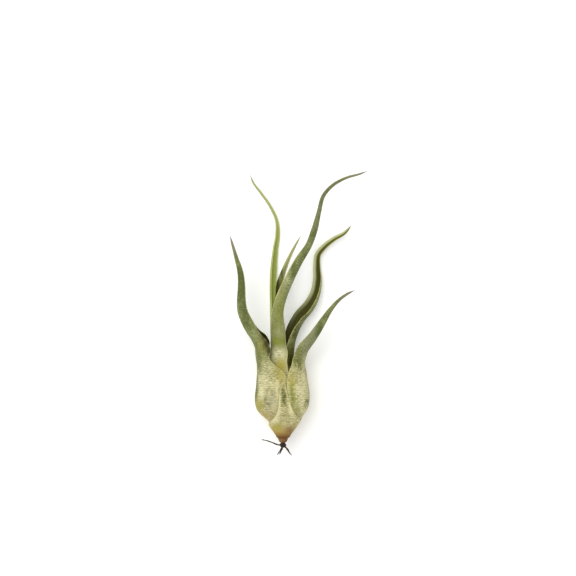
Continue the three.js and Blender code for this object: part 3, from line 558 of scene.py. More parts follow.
class Leaf:
    """One leaf's wall, as a function of along (mm from its base), across (-1 to 1) and face (-1 to 1)."""

    def __init__(self, node, sizes):
        self.node, self.table, self.seed = node, LEAVES[node], list(LEAVES).index(node)
        bladed = "blade" in self.table
        parts = [sheath_sections(self.table)]
        if bladed:
            parts += [neck_sections(self.table), blade_sections(self.table)]
        self.keys = dict(zip(SECTION_KEYS, np.concatenate([np.stack(part) for part in parts], axis=1)))
        self.tip = sizes.tip / MM if bladed else SCALE_TIP
        self.rib_height, self.ribs = sizes.rib_height / MM, sizes.ribs
        self.lump_height = sizes.lump_height / MM
        centres = np.stack([self.keys["c" + axis] for axis in "xyz"], -1)
        spine = centres + outward(self.keys["back"]) * self.keys["radius"][:, None]
        steps = np.linalg.norm(np.diff(spine, axis=0), axis=1)
        self.knots = np.concatenate([[0], np.cumsum(steps)])
        self.length = self.knots[-1]
        self.neck_at = self.along_at(NECK_TO) if bladed else self.length

    def along_at(self, height):
        """How far along the leaf its arc's centre has this height."""
        return np.interp(height, self.keys["cy"], self.knots)

    def at(self, name, along):
        return through(self.knots, self.keys[name], along)

    def spot(self, kind, along):
        """The centres ("c") of the sections' arcs, or the middles ("m") of their widths and depths."""
        return np.stack([self.at(kind + axis, along) for axis in "xyz"], -1)

    def half_arc(self, along):
        """Half of the leaf's width round its arc, in mm."""
        return self.at("radius", along) * np.radians((self.at("left", along) + self.at("right", along)) / 2)

    def turn(self, along, across):
        """How far round from its back each point is, in degrees: from all the way left to all the way
        right."""
        left, right = self.at("left", along)[:, None], self.at("right", along)[:, None]
        return -left + (left + right) * (across + 1) / 2

    def relief(self, along, across, face):
        """What the fine form adds to the radius: ribs on the outer face, and soft lumps on both.

        A rib is a cosine across the leaf. The lumps are three slow waves over the leaf, of seeded phase.
        A groove is a bell curve across it, which fades at its ends.
        """
        arc = across * self.half_arc(along)[:, None]
        size = np.clip(self.at("radius", along) / LUMP_RADIUS, 0.1, 1)[:, None]
        ends = smoothstep(along, RELIEF_FROM, RELIEF_AT_BASE)
        ends = ends * smoothstep(self.length - along, RELIEF_FROM, RELIEF_AT_TIP)
        draw = np.random.default_rng(LUMP_SEED + self.seed)
        lumps = np.zeros_like(arc)
        for wave in LUMP_WAVES:
            turn, phase = draw.uniform(0, FULL_TURN, 2)
            way = arc * np.cos(turn) / size + along[:, None] * np.sin(turn)
            lumps += np.sin(FULL_TURN * wave * way + phase)
        ribs = np.cos(np.pi * self.ribs * across) * (1 - across**2) * (face > 0)
        added = self.lump_height * lumps / 2 * size + self.rib_height * ribs * np.sqrt(size)
        if "groove" in self.table:
            start, end, fade, depth, wide = self.table["groove"]
            y = self.at("cy", along)
            deep = smoothstep(y, start, start + fade) * (1 - smoothstep(y, end - fade, end))
            added = added - depth * deep[:, None] * np.exp(-((across / wide) ** 2)) * (face > 0)
        return added * ends[:, None]

    def place(self, along, across, face):
        """Points in mm on the table. along is one number for each section, across and face one for each
        of its points. face is 1 on the outer face, -1 on the inner one, and both meet at the margins.
        """
        before = self.spot("m", np.maximum(along - TANGENT_STEP, 0))
        after = self.spot("m", np.minimum(along + TANGENT_STEP, self.length))
        way = facing(unit(after - before), self.at("lean", along))
        back, turn = self.at("back", along), self.turn(along, across)
        centre, middle = self.spot("c", along), self.spot("m", along)[:, None]
        shape = 1 + (dent(back[:, None] + turn, centre[:, 1:2]) - 1) * self.at("denting", along)[:, None]
        thick = np.maximum(self.at("thick", along), MARGIN_THICK)[:, None]
        wall = MARGIN_THICK + (thick - MARGIN_THICK) * (1 - across**2)
        outer = self.at("radius", along)[:, None] * shape
        inner = np.maximum(outer - wall, outer * LEAST_HOLLOW)
        rounded = np.sqrt(np.clip(1 - across**2, 0, 1))
        rounded = rounded * np.sqrt(np.clip(along / BASE_ROUNDING, 0, 1))[:, None]
        radius = (outer + inner) / 2 + face * (outer - inner) / 2 * rounded
        radius = radius + self.relief(along, across, face)
        points = centre[:, None] + on_arc(section_frames(way, back), turn) * radius[..., None]
        shrink = np.clip((self.length - along) / self.tip, 0, 1)[:, None, None] ** TIP_POWER
        return above_table(on_table(middle + (points - middle) * shrink))


def above_table(points):
    points[..., 2] = np.maximum(points[..., 2], 0)
    return points


def leaf_grid(leaf, sizes):
    """Where the leaf's mesh has points: rows along it, and once round its section for each row. They are
    closer together towards its margins, by a power of the way to the middle."""
    rows = int(round(leaf.length / (sizes.row_step / MM))) + 1
    along = np.linspace(0, leaf.length, rows)
    even = np.linspace(-1, 1, sizes.across)
    over = np.sign(even) * (1 - (1 - np.abs(even)) ** MARGIN_POWER)
    across = np.concatenate([over, over[-2:0:-1]])
    face = np.concatenate([np.ones(len(over)), -np.ones(len(over) - 2)])
    return along, np.tile(across, (rows, 1)), np.tile(face, (rows, 1))


# ---- meshes ----


def placed(name, data):
    """A new object with this mesh, light or camera, in the scene."""
    made = bpy.data.objects.new(name, data)
    bpy.context.scene.collection.objects.link(made)
    return made


def mesh_object(name, points, faces, values=None):
    """A smooth mesh from points in mm and lists of face arrays, with a value or vector at each point."""
    used, again = np.unique(np.concatenate([f.ravel() for f in faces]), return_inverse=True)
    points = points.reshape(-1, 3)[used] * MM
    sizes = np.concatenate([np.full(len(f), f.shape[1]) for f in faces])
    mesh = bpy.data.meshes.new(name)
    mesh.vertices.add(len(points))
    mesh.vertices.foreach_set("co", points.ravel().astype(np.float32))
    mesh.loops.add(len(again))
    mesh.loops.foreach_set("vertex_index", again.astype(np.int32))
    mesh.polygons.add(len(sizes))
    mesh.polygons.foreach_set("loop_start", np.concatenate([[0], np.cumsum(sizes)[:-1]]).astype(np.int32))
    mesh.polygons.foreach_set("use_smooth", np.ones(len(sizes), bool))
    for label, value in (values or {}).items():
        vector = value.ndim > 1 and value.shape[-1] == 3
        flat = value.reshape(-1, 3)[used] if vector else value.ravel()[used]
        kind, key = ("FLOAT_VECTOR", "vector") if vector else ("FLOAT", "value")
        mesh.attributes.new(label, kind, "POINT").data.foreach_set(key, flat.ravel().astype(np.float32))
    mesh.update(calc_edges=True)
    mesh.validate()
    return placed(name, mesh)


def grid_index(rows, ring, poles=(0, -1)):
    """The numbers of a grid's points. Each of the rows in poles is one repeated point."""
    index = np.arange(rows * ring).reshape(rows, ring)
    for row in poles:
        index[row] = index[row, 0]
    return index


def closed_faces(index):
    """Quads between the rows of a grid whose rows are rings. A row that is one repeated point is a pole,
    and its quads are triangles."""
    index = np.concatenate([index, index[:, :1]], axis=1)
    quads = np.stack([index[:-1, :-1], index[:-1, 1:], index[1:, 1:], index[1:, :-1]], -1)
    first, last = quads[0], quads[-1]
    if index[0, 0] == index[0, 1]:
        first = first[:, 1:]
    if index[-1, 0] == index[-1, 1]:
        last = last[:, :3]
    return [quads[1:-1].reshape(-1, 4), first, last]


def patch_values(leaf, points, along, across, face):
    """How much of each kind of patch is at each point: the most of its bell curves, on front faces."""
    azimuth = leaf.at("back", along)[:, None] + leaf.turn(along, across)
    front = smoothstep(face * outward(azimuth)[..., 2], -0.1, 0.2)
    patches = PATCHES.get(leaf.node, {})
    values = {}
    for kind in PATCH_KINDS:
        most = np.zeros(points.shape[:-1])
        for x, y, wide, tall, strength in patches.get(kind, ()):
            far = ((points[..., 0] - x) / wide) ** 2 + ((points[..., 1] - y) / tall) ** 2
            most = np.maximum(most, strength * np.exp(-far))
        values[kind] = most * front
    return values


def leaf_piece(leaf, sizes):
    """One leaf or scale: rings of points round its wall, from a seam at its base to a point at its tip."""
    along, across, face = leaf_grid(leaf, sizes)
    points = leaf.place(along, across, face)
    rows, ring = across.shape
    index, half = grid_index(rows, ring, poles=(-1,)), ring // 2
    index[0, half + 1 :] = index[0, half - 1 : 0 : -1]
    half_arc = np.maximum(leaf.half_arc(along), 0.2)[:, None]
    long = np.broadcast_to(along[:, None], across.shape)
    values = {
        "leaf_place": np.stack([across * half_arc, long, 30 * leaf.seed + 5 * face], -1),
        "rise": np.interp(long, (0, leaf.neck_at, max(leaf.length, leaf.neck_at + 1)), (0, 0.5, 1)),
        "edge": (1 - np.abs(across)) * half_arc,
        "inner": (face < 0).astype(float),
        **patch_values(leaf, points, along, across, face),
    }
    return mesh_object(leaf.node + "_skin", points, closed_faces(index), values)


def flake_places(leaf, sizes, draw):
    """Where a leaf's flakes are, along it and across it: a seeded jitter of an even grid over the outer
    face. They are more or fewer by a product of two slow waves, and fewer on green, grey and dark
    patches, of which the dark ones are painted shade."""
    phase = draw.uniform(0, FULL_TURN, 2)
    along, across = [], []
    for row in np.arange(leaf.along_at(leaf.table["flakes"]), leaf.length - 1, sizes.flake_row / MM):
        half_arc = leaf.half_arc(row)
        count = max(int(2 * half_arc / (sizes.flake_gap / MM)), 2)
        jitter = draw.uniform(-FLAKE_JITTER, FLAKE_JITTER, count)
        over = (np.arange(count) + 0.5 + jitter) / count * 2 - 1
        arc = over * half_arc
        cloud = np.sin(row * 0.5 + 0.3 * arc + phase[0]) * np.sin(0.5 * arc - row * 0.2 + phase[1])
        keep = draw.random(count) < np.interp(half_arc, FLAKE_WIDTHS, FLAKE_SHARES) * (1 + 0.9 * cloud)
        along.append((row + draw.normal(0, FLAKE_STRAY, count))[keep])
        across.append(over[keep] * FLAKE_INSET)
    along = np.clip(np.concatenate(along), 0.5, leaf.length - 1)
    across = np.concatenate(across)[:, None]
    patches = patch_values(leaf, leaf.place(along, across, 1), along, across, 1)
    # Flakes are lost on the green, grey and dark patches; the dark ones are painted shade.
    bare = (patches["painted_shade_and_dots"] + patches["green"] + patches["grey"])[:, 0]
    kept = bare <= draw.uniform(*FLAKE_BARE, len(along))
    return along[kept], across[kept]


def flakes_piece(leaf, sizes):
    """The silvery flakes of a leaf: low six-sided shields, a little raised to its tip. Each is a rim on
    an ellipse, a crown over its middle and a foot under it."""
    draw = np.random.default_rng(FLAKE_SEED + leaf.seed)
    along, across = flake_places(leaf, sizes, draw)
    spot = leaf.place(along, across, 1)[:, 0]
    up_leaf = unit(leaf.place(along + STEP_ALONG, across, 1)[:, 0] - spot)
    sideways = leaf.place(along, across + STEP_ACROSS, 1)[:, 0] - spot
    out = -unit(np.cross(up_leaf, sideways))
    sideways = np.cross(up_leaf, out)
    size = draw.uniform(*FLAKE_SPREAD, len(spot))
    size = size * np.interp(leaf.half_arc(along), FLAKE_WIDTHS, FLAKE_SIZES)
    turn = round_turn(FLAKE_SIDES)
    rim_across = sizes.flake_long / MM / 2 * np.cos(turn)
    rim_along = sizes.flake_wide / MM / 2 * np.sin(turn)
    rim = (
        sideways[:, None] * rim_across[:, None]
        + up_leaf[:, None] * rim_along[:, None]
        + out[:, None] * (FLAKE_RIM + FLAKE_TILT * rim_along)[:, None]
    )
    shield = np.concatenate([rim, out[:, None] * FLAKE_CROWN, out[:, None] * FLAKE_FOOT], axis=1)
    points = above_table(spot[:, None] + shield * size[:, None, None])
    corner = np.arange(FLAKE_SIDES)
    after, crown = (corner + 1) % FLAKE_SIDES, np.full(FLAKE_SIDES, FLAKE_SIDES)
    one = np.concatenate([np.stack([corner, after, crown], -1), np.stack([after, corner, crown + 1], -1)])
    faces = one[None] + points.shape[1] * np.arange(len(spot))[:, None, None]
    return mesh_object(leaf.node + "_flakes", points, [faces.reshape(-1, 3)])


def tube(path, radii, reference):
    """A round body along a path: a ring of points square to it at each place, with a radius for each
    point, closed at both ends by a radius of 0. A ring's first point is on the side of path x reference."""
    way = unit(np.gradient(path, axis=0))
    sideways = unit(np.cross(way, reference))
    over = np.cross(sideways, way)
    turn = round_turn(radii.shape[1])[:, None]
    ring = sideways[:, None] * np.cos(turn) - over[:, None] * np.sin(turn)
    return path[:, None] + ring * radii[..., None], grid_index(*radii.shape)


def joined(bodies):
    """Several grids of points and their indexes as one mesh's points and faces."""
    points, faces, start = [], [], 0
    for grid, index in bodies:
        faces += closed_faces(index + start)
        points.append(grid.reshape(-1, 3))
        start += index.size
    return np.concatenate(points), faces


def quarter_round(share):
    """A rounded end's radius: a quarter of a circle as the share goes from 0 to 1."""
    return np.sqrt(np.clip(1 - (1 - np.minimum(share, 1)) ** 2, 0, 1))


def stem_piece():
    """The stem: a radius along its axis, with a low ring for each leaf that clasps it, rounded ends and
    two fine waves round it, its fibres."""
    share = np.linspace(0, 1, STEM_RINGS)
    y = STEM_BOTTOM + (STEM_TOP - STEM_BOTTOM) * share
    ends = quarter_round(share / STEM_ENDS[0]) * quarter_round((1 - share) / STEM_ENDS[1])
    radius = STEM_RADIUS * ends * (0.97 + 0.03 * np.cos(FULL_TURN * y / SHEATH_PITCH))
    turn = round_turn(STEM_SIDES)
    fibres = 1 + 0.02 * np.cos(11 * turn + 1) + 0.015 * np.cos(17 * turn)
    path = np.stack([axis_x(y), y, np.zeros_like(y)], -1)
    points, index = tube(path, radius[:, None] * fibres, FRONT)
    return mesh_object("stem_core", *joined([(on_table(points), index)]))


def drawn(seed):
    """A repeatable draw from 0 to 1: each state is the last times 1664525 plus 1013904223, modulo 2^32."""
    state = seed
    while True:
        state = (state * 1664525 + 1013904223) % 4294967296
        yield state / 4294967296


def root_paths():
    """Each root's way from the middle of the knob: out at an azimuth that bends with the square of the
    way along, and down by a power of it. The first goes left, the others follow by the golden angle."""
    draw = drawn(ROOT_SEED)
    roots = [FIRST_ROOT]
    for i in range(1, ROOT_COUNT):
        azimuth = FIRST_ROOT["azimuth"] + i * GOLDEN_ANGLE
        reach, drop, bend = 4 + 4 * next(draw), 3 + 4 * next(draw), 50 * (next(draw) - 0.5)
        roots.append({"azimuth": azimuth, "reach": reach, "drop": drop, "bend": bend})
    knots, fine = np.linspace(0, 1, ROOT_KNOTS), np.linspace(0, 1, ROOT_STEPS)
    for root in roots:
        way = outward(root["azimuth"] + root["bend"] * knots**2) * (root["reach"] * knots)[:, None]
        wave = ROOT_WAVE * np.sin(ROOT_WAVE_TURN * knots + root["azimuth"])
        way[:, 1] = KNOB_Y - root["drop"] * knots**ROOT_CURL + wave
        yield np.stack([through(knots, values, fine) for values in on_table(way).T], -1)


def knob():
    """The woody knob: a squashed ball, whose radius has two low waves round it that change with height."""
    tall, around = np.linspace(0, np.pi, KNOB_RINGS)[:, None], round_turn(KNOB_SIDES)
    wave = 0.05 * np.sin(5 * around + 3 * np.cos(tall)) + 0.04 * np.sin(9 * around + 1) * np.sin(6 * tall)
    radius = KNOB_RADIUS * (1 + wave)
    ring = np.sin(tall) * radius
    y = KNOB_Y - KNOB_SQUASH * radius * np.cos(tall)
    points = np.stack([ring * np.cos(around), y, ring * -np.sin(around)], -1)
    return on_table(points), grid_index(KNOB_RINGS, KNOB_SIDES)


def root_piece():
    """The knob, and the roots that come out of it: each thins to its end, with knots along it and creases
    that wind round it."""
    bodies = [knob()]
    share, turn = np.linspace(0, 1, ROOT_STEPS), round_turn(ROOT_SIDES)
    ends = np.sqrt(np.clip(np.minimum(share / ROOT_ENDS[0], (1 - share) / ROOT_ENDS[1]), 0, 1))
    creases = 1 + 0.07 * np.cos(5 * turn + 9 * share[:, None])
    for number, path in enumerate(root_paths()):
        knots = 1 + 0.1 * np.sin(22 * share + number) + 0.07 * np.sin(51 * share + 2 * number)
        radius = ROOT_THICK / 2 * (1 - ROOT_THINNING * share) * knots * ends
        bodies.append(tube(path, radius[:, None] * creases, UPWARD))
    return mesh_object("roots", *joined(bodies))


# ---- materials ----


class Wire:
    """A value in a material. Arithmetic on it adds Math nodes, and node() adds any other node."""

    def __init__(self, tree, socket=None):
        self.tree, self.socket = tree, socket

    def node(self, kind, inputs, output=0, stops=None, **settings):
        """A node of a kind, with its settings made first, then the values or links of its sockets."""
        made = self.tree.nodes.new(kind)
        for name, value in settings.items():
            setattr(made, name, value)
        if stops:
            ramp = made.color_ramp.elements
            while len(ramp) < len(stops):
                ramp.new(1)
            for element, (position, shade) in zip(ramp, stops):
                element.position, element.color = position, (*shade, 1)
        for name, value in inputs.items():
            socket = made.inputs[name]
            if isinstance(value, Wire):
                self.tree.links.new(value.socket, socket)
            else:
                socket.default_value = (*value, 1) if socket.type == "RGBA" else value
        return Wire(self.tree, made.outputs[output])

    def math(self, operation, first, second=0, clamp=False):
        return self.node("ShaderNodeMath", {0: first, 1: second}, operation=operation, use_clamp=clamp)

    def __add__(self, other):
        return self.math("ADD", self, other)

    __radd__ = __add__

    def __sub__(self, other):
        return self.math("SUBTRACT", self, other)

    def __rsub__(self, other):
        return self.math("SUBTRACT", other, self)

    def __mul__(self, other):
        return self.math("MULTIPLY", self, other)

    __rmul__ = __mul__

    def __truediv__(self, other):
        return self.math("DIVIDE", self, other)

    def clamped(self):
        return self.math("ADD", self, clamp=True)

    def wave(self):
        """A sine of the value, as 0 to 1."""
        return 0.5 + 0.5 * self.math("SINE", self)

    def ramp(self, stops):
        """A colour for the value, from (value, colour) stops."""
        return self.node("ShaderNodeValToRGB", {0: self}, stops=stops)

    def between(self, low, high):
        """0 up to low, 1 from high, and a smooth step from one to the other."""
        inputs = {"Value": self, "From Min": low, "From Max": high}
        return self.node("ShaderNodeMapRange", inputs, interpolation_type="SMOOTHSTEP")

    def mixed(self, first, second):
        """The first colour where the value is 0, the second where it is 1."""
        inputs = {"Factor": self, 6: first, 7: second}
        return self.node("ShaderNodeMix", inputs, output=2, data_type="RGBA")

    def attribute(self, name, output="Fac"):
        """A value of the piece's mesh, or a vector if that output is asked for."""
        return self.node("ShaderNodeAttribute", {}, output=output, attribute_name=name)

    def places(self):
        """The piece's own coordinates, in mm."""
        return self.node("ShaderNodeTexCoord", {}, output="Object").times(1 / MM, 1 / MM, 1 / MM)

    def times(self, *scales):
        return self.node("ShaderNodeVectorMath", {0: self, 1: scales}, operation="MULTIPLY")

    def part(self, axis):
        return self.node("ShaderNodeSeparateXYZ", {0: self}, output=axis)

    def noise(self, across, along, deep=1.0, detail=2.0, roughness=0.5):
        """Noise on these places, with so many features to the mm each way."""
        inputs = {"Vector": self.times(across, along, deep), "Scale": 1.0}
        return self.node("ShaderNodeTexNoise", {**inputs, "Detail": detail, "Roughness": roughness})

    def bump(self, strength, distance):
        inputs = {"Height": self, "Strength": strength, "Distance": distance}
        return self.node("ShaderNodeBump", inputs, output="Normal")


def finished(name, build, constants):
    """A material. build is given its first wire and returns what feeds the surface's sockets; constants
    are the sockets that are the same all over."""
    material = bpy.data.materials.new(name)
    material.use_nodes = True
    tree = material.node_tree
    tree.nodes.clear()
    wire = Wire(tree)
    surface = wire.node("ShaderNodeBsdfPrincipled", {**constants, **build(wire)})
    output = tree.nodes.new("ShaderNodeOutputMaterial")
    tree.links.new(surface.socket, output.inputs["Surface"])
    return material


# The colours that each leaf takes from its base (0) through the end of its neck (0.5) to its tip (1):
# its own green, the bloom over it, and how much of it the bloom covers. inner: the colour and bloom of
# its inner face, whose dark is partly its own and partly painted shade. rim: how pale a line its margins
# have, and how far that reaches in, in mm; the line is partly their own pale edge and partly painted
# light. rim_from: where its left margin begins to be pale. painted_margin_light: how much lighter the
# bloom is painted towards its margins, standing in for the light that steep sides miss. wall: how
# strongly the left wall of its channel is painted lit.
TIP = (1, "tip")
SHEATH_GREENS = ((0, "tan"), (0.1, "sheath"), (0.3, "sheath"), (0.42, "neck"))
SHEATH_BLOOM = ((0, "cream"), (0.34, "cream"), (0.48, "frost"))
# Inner faces are dark partly by their own olive, partly by painted shade of the channel.
CHANNEL = ("channel", "channel_frost")
SCALE = {
    "green": ((0, "dry"), (0.07, "tan"), (0.16, "sheath"), (0.5, "sheath")),
    "bloom": ((0, "dry"), (0.06, "tan"), (0.12, "cream"), (0.5, "cream")),
    "inner": ("paper", "paper"),
    "painted_margin_light": 0.2,
}
TONES = {
    "leaf_left": {
        "green": (*SHEATH_GREENS, (0.58, "blade"), (0.88, "blade"), TIP),
        "bloom": (*SHEATH_BLOOM, (0.9, "frost"), TIP),
        "cover": (
            (0, 0.6), (0.26, 0.58), (0.4, 0.42), (0.62, 0.5), (0.68, 0.46), (0.76, 0.16), (0.94, 0.4),
        ),
        "inner": CHANNEL, "rim": (0.8, 0.8), "painted_margin_light": 0.15,
    },
    "leaf_right": {
        "green": (*SHEATH_GREENS, (0.6, "blade"), (0.85, "blade"), TIP),
        "bloom": (*SHEATH_BLOOM, (0.8, "frost"), TIP),
        "cover": ((0, 0.6), (0.28, 0.6), (0.4, 0.42), (0.7, 0.38), (0.92, 0.44), (1, 0.4)),
        "inner": CHANNEL, "rim": (0.7, 0.7), "painted_margin_light": 0.1,
    },
    "leaf_front": {
        "green": (*SHEATH_GREENS, (0.52, "neck"), (0.72, "blade"), (0.92, "blade"), TIP),
        "bloom": (*SHEATH_BLOOM, (0.74, "frost"), (0.86, "grey"), TIP),
        "cover": ((0, 0.6), (0.4, 0.6), (0.6, 0.42), (0.72, 0.34), (0.92, 0.4), (1, 0.4)),
        "inner": CHANNEL, "rim": (1.5, 1.5), "painted_margin_light": 0.45,
    },
    "leaf_back_right": {
        "green": (*SHEATH_GREENS, (0.55, "blade"), (0.9, "blade"), TIP),
        "bloom": (*SHEATH_BLOOM, (0.92, "frost"), TIP),
        "cover": ((0, 0.6), (0.45, 0.33), (0.8, 0.52), (0.92, 0.95), (1, 1)),
        "inner": CHANNEL, "wall": 0.9, "rim": (0.9, 0.8), "rim_from": (0.58, 0.68), "painted_margin_light": 0.1,
    },
    "leaf_back_left": {
        "green": (*SHEATH_GREENS, (0.5, "bright"), (0.85, "bright"), (0.95, "blade"), TIP),
        "bloom": ((0, "cream"), (0.4, "bright_frost"), (0.8, "bright_frost"), TIP),
        "cover": ((0, 0.6), (0.45, 0.4), (0.68, 0.45), (0.8, 0.7), (1, 0.6)),
        "inner": ("bright", "bright_frost"), "rim": (0.7, 0.8), "painted_margin_light": 0.1,
    },
    "leaf_inner": {
        "green": (*SHEATH_GREENS, (0.55, "neck"), (0.92, "blade"), TIP),
        "bloom": (*SHEATH_BLOOM, (0.9, "bright_frost"), TIP),
        "cover": ((0, 0.6), (0.5, 0.35), (0.8, 0.45), (1, 0.5)),
        "inner": ("neck", "frost"), "wall": 0.3, "rim": (0.8, 0.7), "painted_margin_light": 0.2,
    },
    # The scales' pale margins are partly painted highlights along their ridges.
    "scale_front": {**SCALE, "cover": ((0, 0.5), (0.15, 0.56), (0.5, 0.56)), "rim": (0.9, 1.4)},
    "scale_back": {**SCALE, "cover": ((0, 0.5), (0.15, 0.6), (0.5, 0.56)), "rim": (0.6, 1.2)},
}
MARGIN_LIGHT_REACH = 5  # mm from a margin over which the bloom is painted lighter towards it, for the light that steep sides miss
ROW_GAP = 1.3  # mm between the rows that the bloom lies in
NERVE_GAP = 0.52  # mm between a leaf's finest nerves


def leaf_material(node, colours):
    """A leaf's finish. Bloom lies over its green in broken rows across it, thicker in some places than in
    others. Its margins are pale, partly their own and partly painted light, and the bloom is painted
    lighter towards them. Its inner face is darker, partly its own olive and partly painted shade, and
    the left wall of an open channel is painted lit. Patches are dry, yellow, or green (some of them
    painted shade), dark with painted shade and a few dots, or silvery with bloom, painted highlights
    and painted light."""
    tones = TONES[node]

    def shade(name):
        return getattr(colours, name)

    def shades(name):
        return [(position, shade(colour)) for position, colour in tones[name]]

    def build(wire):
        place = wire.attribute("leaf_place", "Vector")
        rise, edge, inner = (wire.attribute(name) for name in ("rise", "edge", "inner"))
        patch = {kind: wire.attribute(kind) for kind in PATCH_KINDS}
        mottle = place.noise(0.5, 1.7, detail=3, roughness=0.6)
        blotch = place.noise(0.17, 0.14)
        streak = place.noise(1.2, 0.1)
        speck = place.noise(1, 2.6, detail=1)
        drift = place.noise(0.22, 0.2, detail=1)
        rows = (place.part("Y") * (FULL_TURN / ROW_GAP) + drift * 5).wave()
        dashes = rows * place.noise(0.5, 0.8, detail=1).between(0.4, 0.6) * drift.between(0.3, 0.5)
        low = 1 - rise.between(0.34, 0.52)
        left = place.part("X").between(0, 0.6)

        cover = rise.ramp([(position, (share,) * 3) for position, share in tones["cover"]])
        bloom = cover + (mottle - 0.5) * 1.5 + (blotch - 0.5) * 1.2 + (streak - 0.5) * 0.6
        bloom = bloom + (dashes - 0.25) * (0.16 + low * 0.5)
        # Painted light: the bloom is lighter towards the margins, where the steep sides get less light.
        bloom = bloom + (1 - edge / MARGIN_LIGHT_REACH).clamped() * (1 - rise.between(0.6, 0.8)) * tones["painted_margin_light"]
        bloom = (bloom - (patch["green"] + patch["painted_shade_and_dots"]) * 0.6 + patch["silver_and_painted_light"] * 0.35).clamped()
        colour = bloom.mixed(rise.ramp(shades("green")), rise.ramp(shades("bloom")))

        bare = cover * 0.35 + rise.between(0.76, 0.92) * 0.45
        bare = (bare + (mottle - 0.5) * 0.9 + (streak - 0.5) * 0.5).clamped()
        face = bare.mixed(*(shade(name) for name in tones["inner"]))
        # Painted light: the left wall of the channel, near its margin, is painted pale as if lit.
        wall = (1 - edge.between(0.6, 3.4)) * left * rise.between(0.53, 0.78)
        face = (wall * tones.get("wall", 0)).mixed(face, shade("wall"))
        colour = inner.mixed(colour, face)

        for share, name in (
            ((patch["yellow"] * (0.25 + mottle)).clamped(), "yellow"),
            ((patch["moss"] * (0.2 + mottle)).clamped(), "moss"),
            ((patch["tan"] * (0.4 + mottle)).clamped(), "tan"),
            # Thick bloom, and painted highlights and painted light on shaded sides.
            (patch["silver_and_painted_light"] * mottle.between(0.38, 0.6), "silver_and_painted_light"),
            ((patch["grey"] * (0.4 + mottle)).clamped(), "grey"),
            (patch["green"] * (1 - bloom * 0.7), "green"),
            # Painted shade, and a few small dark dots.
            ((patch["painted_shade_and_dots"] * (1.1 - bloom * 0.35)).clamped(), "painted_shade_and_dots"),
            (speck.between(0.62, 0.72) * low * 0.45, "sheath"),
            ((patch["dry"] * (0.5 + mottle)).clamped(), "dry"),
        ):
            colour = share.mixed(colour, shade(name))

        # The margins' pale line: partly their own pale edge, partly painted light that lifts shaded sides
        # and the shade beside them, and painted highlights on the scales' ridges; it fades under painted
        # shade.
        strength, reach = tones["rim"]
        pale = (1 - edge / reach).clamped() * (1 - rise.between(0.9, 1)) * (1 - patch["painted_shade_and_dots"]).clamped()
        if "rim_from" in tones:
            pale = pale * (1 - (1 - rise.between(*tones["rim_from"])) * left)
        colour = (pale * mottle.between(0.2, 0.65) * strength).mixed(colour, shade("margin"))
        nerves = (place.part("X") * (FULL_TURN / NERVE_GAP)).wave()
        height = mottle * 0.5 + dashes * 0.45 + nerves * 0.2
        normal = height.bump(0.7, 0.16 * MM)
        return {"Base Color": colour, "Roughness": 0.5 + bloom * 0.24, "Normal": normal}

    return finished(node, build, {"Specular IOR Level": 0.16})


def flake_material(colours):
    """Silvery flakes: paler and duller in a fine random speckle."""

    def build(wire):
        speckle = wire.places().noise(1.4, 1.4, 1.4)
        shade = speckle.between(0.3, 0.7).mixed(colours.cream, colours.flake)
        return {"Base Color": shade, "Roughness": 0.55 + speckle * 0.25}

    return finished("flakes", build, {"Specular IOR Level": 0.4, "Sheen Weight": 0.1})


def stem_material(colours):
    """Dry fibrous stem: tan fibres along it, browner between them and in slow stains."""

    def build(wire):
        fibres = wire.places().noise(2.6, 0.35, 2.6, detail=3)
        stain = wire.places().noise(0.3, 0.5, 0.3)
        brown = (fibres.between(0.35, 0.65) * 0.6 + stain.between(0.4, 0.7) * 0.5).clamped()
        normal = fibres.bump(0.7, 0.25 * MM)
        shade = brown.mixed(colours.stem, colours.dry)
        return {"Base Color": shade, "Roughness": 0.7 + fibres * 0.2, "Normal": normal}

    return finished("stem", build, {"Specular IOR Level": 0.25})


def root_material(colours):
    """Wiry dark roots: near black, with dry brown where their bark has scuffed, and fine wrinkles."""

    def build(wire):
        scuffs = wire.places().noise(0.9, 0.9, 0.9, detail=4, roughness=0.65)
        wrinkles = wire.places().noise(3.2, 3.2, 3.2, detail=3)
        shade = scuffs.between(0.52, 0.75).mixed(colours.root, colours.dry)
        normal = (wrinkles + scuffs * 0.5).bump(0.8, 0.2 * MM)
        return {"Base Color": shade, "Roughness": 0.6 + wrinkles * 0.3, "Normal": normal}

    return finished("roots", build, {"Specular IOR Level": 0.3})


def floor_material(colours):
    """A plain pale floor with a faint cloud in it, which glows a little, though it is no lamp, to lighten
    the shadows on it.
    """

    def build(wire):
        cloud = wire.places().noise(0.004, 0.004, 0.004)
        shade = cloud.mixed(colours.floor, [0.985 * share for share in colours.floor])
        return {"Base Color": shade, "Roughness": 0.8 + cloud * 0.1}

    # Painted light: a faint glow that lightens the shadows on the floor and lights the plant a little from
    # below.
    shadow_lifting_glow = {"Emission Color": (1, 1, 1), "Emission Strength": 0.18}
    return finished("floor", build, {"Specular IOR Level": 0.1, **shadow_lifting_glow})


# ---- operators ----


def dress(piece, material, node=None):
    """Gives a piece its material, ties it to the frame's body, and hides the imported part of its node."""
    piece.data.materials.append(material)
    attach(piece, BODY)
    if node:
        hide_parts(node)


def grow(context, bladed):
    """The leaves that have a blade, or the scales, which have none, and the flakes on each."""
    sizes, colours = context.scene.plant_sizes, context.scene.plant_colours
    flakes = bpy.data.materials.get("flakes") or flake_material(colours)
    for node, table in LEAVES.items():
        if ("blade" in table) == bladed:
            leaf = Leaf(node, sizes)
            dress(leaf_piece(leaf, sizes), leaf_material(node, colours), node)
            dress(flakes_piece(leaf, sizes), flakes)


class PLANT_OT_leaves(bpy.types.Operator):
    """Build the six leaves, each with its silvery flakes"""

    bl_idname = "air_plant.leaves"
    bl_label = "Leaves"

    def execute(self, context):
        grow(context, bladed=True)
        return {"FINISHED"}


